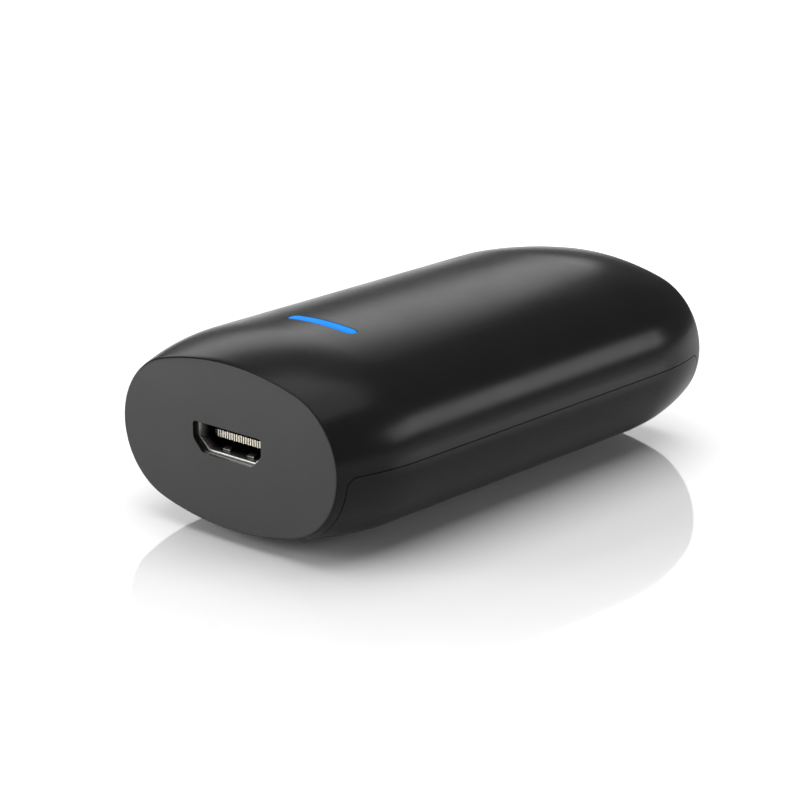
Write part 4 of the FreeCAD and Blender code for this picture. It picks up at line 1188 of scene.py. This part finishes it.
@dataclass
class ResetButton:
    """The plunger behind the pinhole, its switch and the leaf spring between them."""

    hole: float = 1.7 * MM
    hole_sides: int = 48
    plunger_edge: float = 0.08 * MM
    spring_edge: float = 0.015 * MM

    def cutout(self) -> Piece:
        """The cutter for the pinhole.

        Returns:
            The cutter.
        """
        low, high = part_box("reset_plunger")
        x, z = (low.x + high.x) / 2, (low.z + high.z) / 2
        y = high.y + (CUT_OUTSIDE - CUT_INSIDE) / 2
        deselect_all()
        bpy.ops.mesh.primitive_cylinder_add(vertices=self.hole_sides, radius=self.hole / 2,
                                            depth=CUT_INSIDE + CUT_OUTSIDE, location=(x, y, z),
                                            rotation=(math.pi / 2, 0, 0))
        return settle(bpy.context.object, "pinhole_cut")

    def build(self) -> None:
        """Make the plunger and the spring that it presses on, and dress the switch."""
        fit(eased("reset_plunger", "reset_button_cap", self.plunger_edge), BUTTON_GREY, BUTTON)
        dress(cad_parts["reset_switch"], SOCKET_BLACK)
        spring = eased("reset_spring", "reset_leaf_spring", self.spring_edge, steps=1)
        dress(spring, SPRING_STEEL)
        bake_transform(spring)


@dataclass
class Foot:
    """Rubber foot let into the cover."""

    clearance: float = 0.15 * MM
    cut_below: float = 2.0 * MM
    edge: float = 0.12 * MM
    edge_steps: int = 3

    def pocket(self) -> Piece:
        """The cutter for the recess.

        Returns:
            The cutter.
        """
        low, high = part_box("foot_pad")
        spare = Vector((self.clearance, self.clearance, 0))
        return stadium("pocket_cut", low - spare - Vector((0, 0, self.cut_below)), high + spare)

    def build(self) -> None:
        """Make the foot with its rim eased."""
        fit(eased("foot_pad", "rubber_foot", self.edge, self.edge_steps), FOOT_RUBBER)


ELECTRONICS: Mapping[str, Finish] = {
    "cover_screws": SCREW_STEEL,
    "main_board": BOARD_LACQUER,
    "system_chip": CHIP_RESIN,
    "thermal_pad": PAD_SILICONE,
    "heat_sink": SINK_ALUMINIUM,
    "memory_chips": CHIP_RESIN,
    "storage_chip": CHIP_RESIN,
    "ethernet_phy_chip": CHIP_RESIN,
    "timing_crystal": SHIELD_STEEL,
    "regulator_shield_can": SHIELD_STEEL,
    "voltage_regulators": CHIP_RESIN,
    "ethernet_isolator": CHIP_RESIN,
    "power_transformer_core": FERRITE_GREY,
    "power_transformer_winding": WINDING_COPPER,
    "power_inductor": FERRITE_GREY,
    "capacitor_cans": CAN_ALUMINIUM,
    "capacitor_bases": SLEEVE_BLACK,
    "rectifier_diodes": CHIP_RESIN,
    "power_control_chips": CHIP_RESIN,
    "ceramic_capacitors": CERAMIC_TAN,
    "signal_resistors": CHIP_RESIN,
}


# Studio

@dataclass(frozen=True)
class Softbox:
    """A flat lamp, aimed at the middle of the player where no other point is given."""

    name: str
    place: tuple[float, float, float]
    size: tuple[float, float]
    power: float
    aim: tuple[float, float, float] = (0.0, 0.0, 15 * MM)

    def build(self) -> None:
        """Put the lamp in the scene."""
        data = bpy.data.lights.new(self.name, "AREA")
        data.shape = "RECTANGLE"
        data.size, data.size_y = self.size
        data.energy = self.power
        lamp = bpy.data.objects.new(self.name, data)
        lamp.location = self.place
        towards = Vector(self.aim) - Vector(self.place)
        lamp.rotation_euler = towards.to_track_quat("-Z", "Y").to_euler()
        bpy.context.scene.collection.objects.link(lamp)


@dataclass
class Studio:
    """Camera, floor, surround and lamps."""

    azimuth: float = math.radians(41.83)
    elevation: float = math.radians(17.61)
    distance: float = 466.98 * MM
    lens: float = 127.06
    sensor: float = 36.0
    nearest: float = 10 * MM
    image_pixels: float = 800.0
    centre_pixel: tuple[float, float] = (422.93, 381.93)
    target_z: float = 15.75 * MM
    floor_size: float = 8.0
    floor_roughness: float = 0.06
    floor_cloud: float = 0.3
    floor_shades: tuple[float, float] = (0.9, 0.92)
    near_floor: float = 0.045
    far_floor: float = 0.15
    backdrop: float = 0.9
    surround: float = 0.1
    boxes: tuple[Softbox, ...] = (
        Softbox("overhead", (0.0, 0.0, 2.0), (2.4, 2.4), 40.0, aim=(0.0, 0.0, 0.0)),
        Softbox("front_left", (-0.65, -1.15, 0.52), (1.2, 0.8), 12.5),
        Softbox("back_left", (-1.2, 1.05, 0.7), (1.05, 0.5), 3.2),
        Softbox("back_right", (1.13, 1.05, 0.43), (0.75, 0.4), 6.4),
    )

    def camera(self) -> None:
        """Place the camera where the photograph was taken from."""
        back = Vector((math.sin(self.azimuth) * math.cos(self.elevation),
                       -math.cos(self.azimuth) * math.cos(self.elevation), math.sin(self.elevation)))
        right = Vector((math.cos(self.azimuth), math.sin(self.azimuth), 0))
        up = back.cross(right)
        per_pixel = self.distance * self.sensor / (self.lens * self.image_pixels)
        middle = self.image_pixels / 2
        shift_right = (self.centre_pixel[0] - middle) * per_pixel
        shift_down = (self.centre_pixel[1] - middle) * per_pixel
        data = bpy.data.cameras.new("camera")
        data.lens = self.lens
        data.sensor_width = self.sensor
        data.clip_start = self.nearest
        camera = bpy.data.objects.new("camera", data)
        target = Vector((0, 0, self.target_z))
        camera.location = target + back * self.distance - right * shift_right + up * shift_down
        camera.rotation_euler = back.to_track_quat("Z", "Y").to_euler()
        bpy.context.scene.collection.objects.link(camera)
        bpy.context.scene.camera = camera

    def floor(self) -> None:
        """A white floor that mirrors the object faintly and is plain white to the camera farther off."""
        deselect_all()
        bpy.ops.mesh.primitive_plane_add(size=self.floor_size)
        floor = settle(bpy.context.object, "floor")
        sheet = Sheet("floor_white")
        place = sheet.place()
        x, y = sheet.axis(place, "X"), sheet.axis(place, "Y")
        # The floor's own light is nought up to the near radius and full from the far one
        away = (x * x + y * y - self.near_floor ** 2) * (1 / (self.far_floor ** 2 - self.near_floor ** 2))
        seen = sheet.ray("Is Camera Ray") + sheet.ray("Is Glossy Ray") + sheet.ray("Is Transmission Ray")
        floor.data.materials.append(sheet.surface({
            "Base Color": sheet.blend(sheet.noise(place, self.floor_cloud), *map(grey, self.floor_shades)),
            "Roughness": self.floor_roughness,
            "Specular IOR Level": 0.5,
            "Emission Color": sheet.blend(seen * away, grey(0), grey(self.backdrop)),
            "Emission Strength": 1.0,
        }))

    def world(self) -> None:
        """An even dim surround."""
        world = bpy.data.worlds.new("studio")
        world.use_nodes = True
        world.node_tree.nodes["Background"].inputs["Color"].default_value = grey(self.surround)
        world.node_tree.nodes["Background"].inputs["Strength"].default_value = 1.0
        bpy.context.scene.world = world

    def build(self) -> None:
        """Set the whole studio up."""
        bpy.context.scene.view_settings.view_transform = "Standard"
        self.camera()
        self.floor()
        self.world()
        for box in self.boxes:
            box.build()


def main() -> None:
    """Build and dress the player."""
    logging.basicConfig(level=logging.INFO, format="%(message)s")
    Studio().build()
    video, network, light = VideoSocket(), NetworkSocket(), StatusLight()
    button, foot = ResetButton(), Foot()
    Case().build([video.cutout(), network.cutout(), light.cutout(), button.cutout()], foot.pocket())
    for part in (video, network, light, button, foot):
        part.build()
    for node, finish in ELECTRONICS.items():
        dress(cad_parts[node], finish)
    deselect_all()


if __name__ == "__main__":
    main()
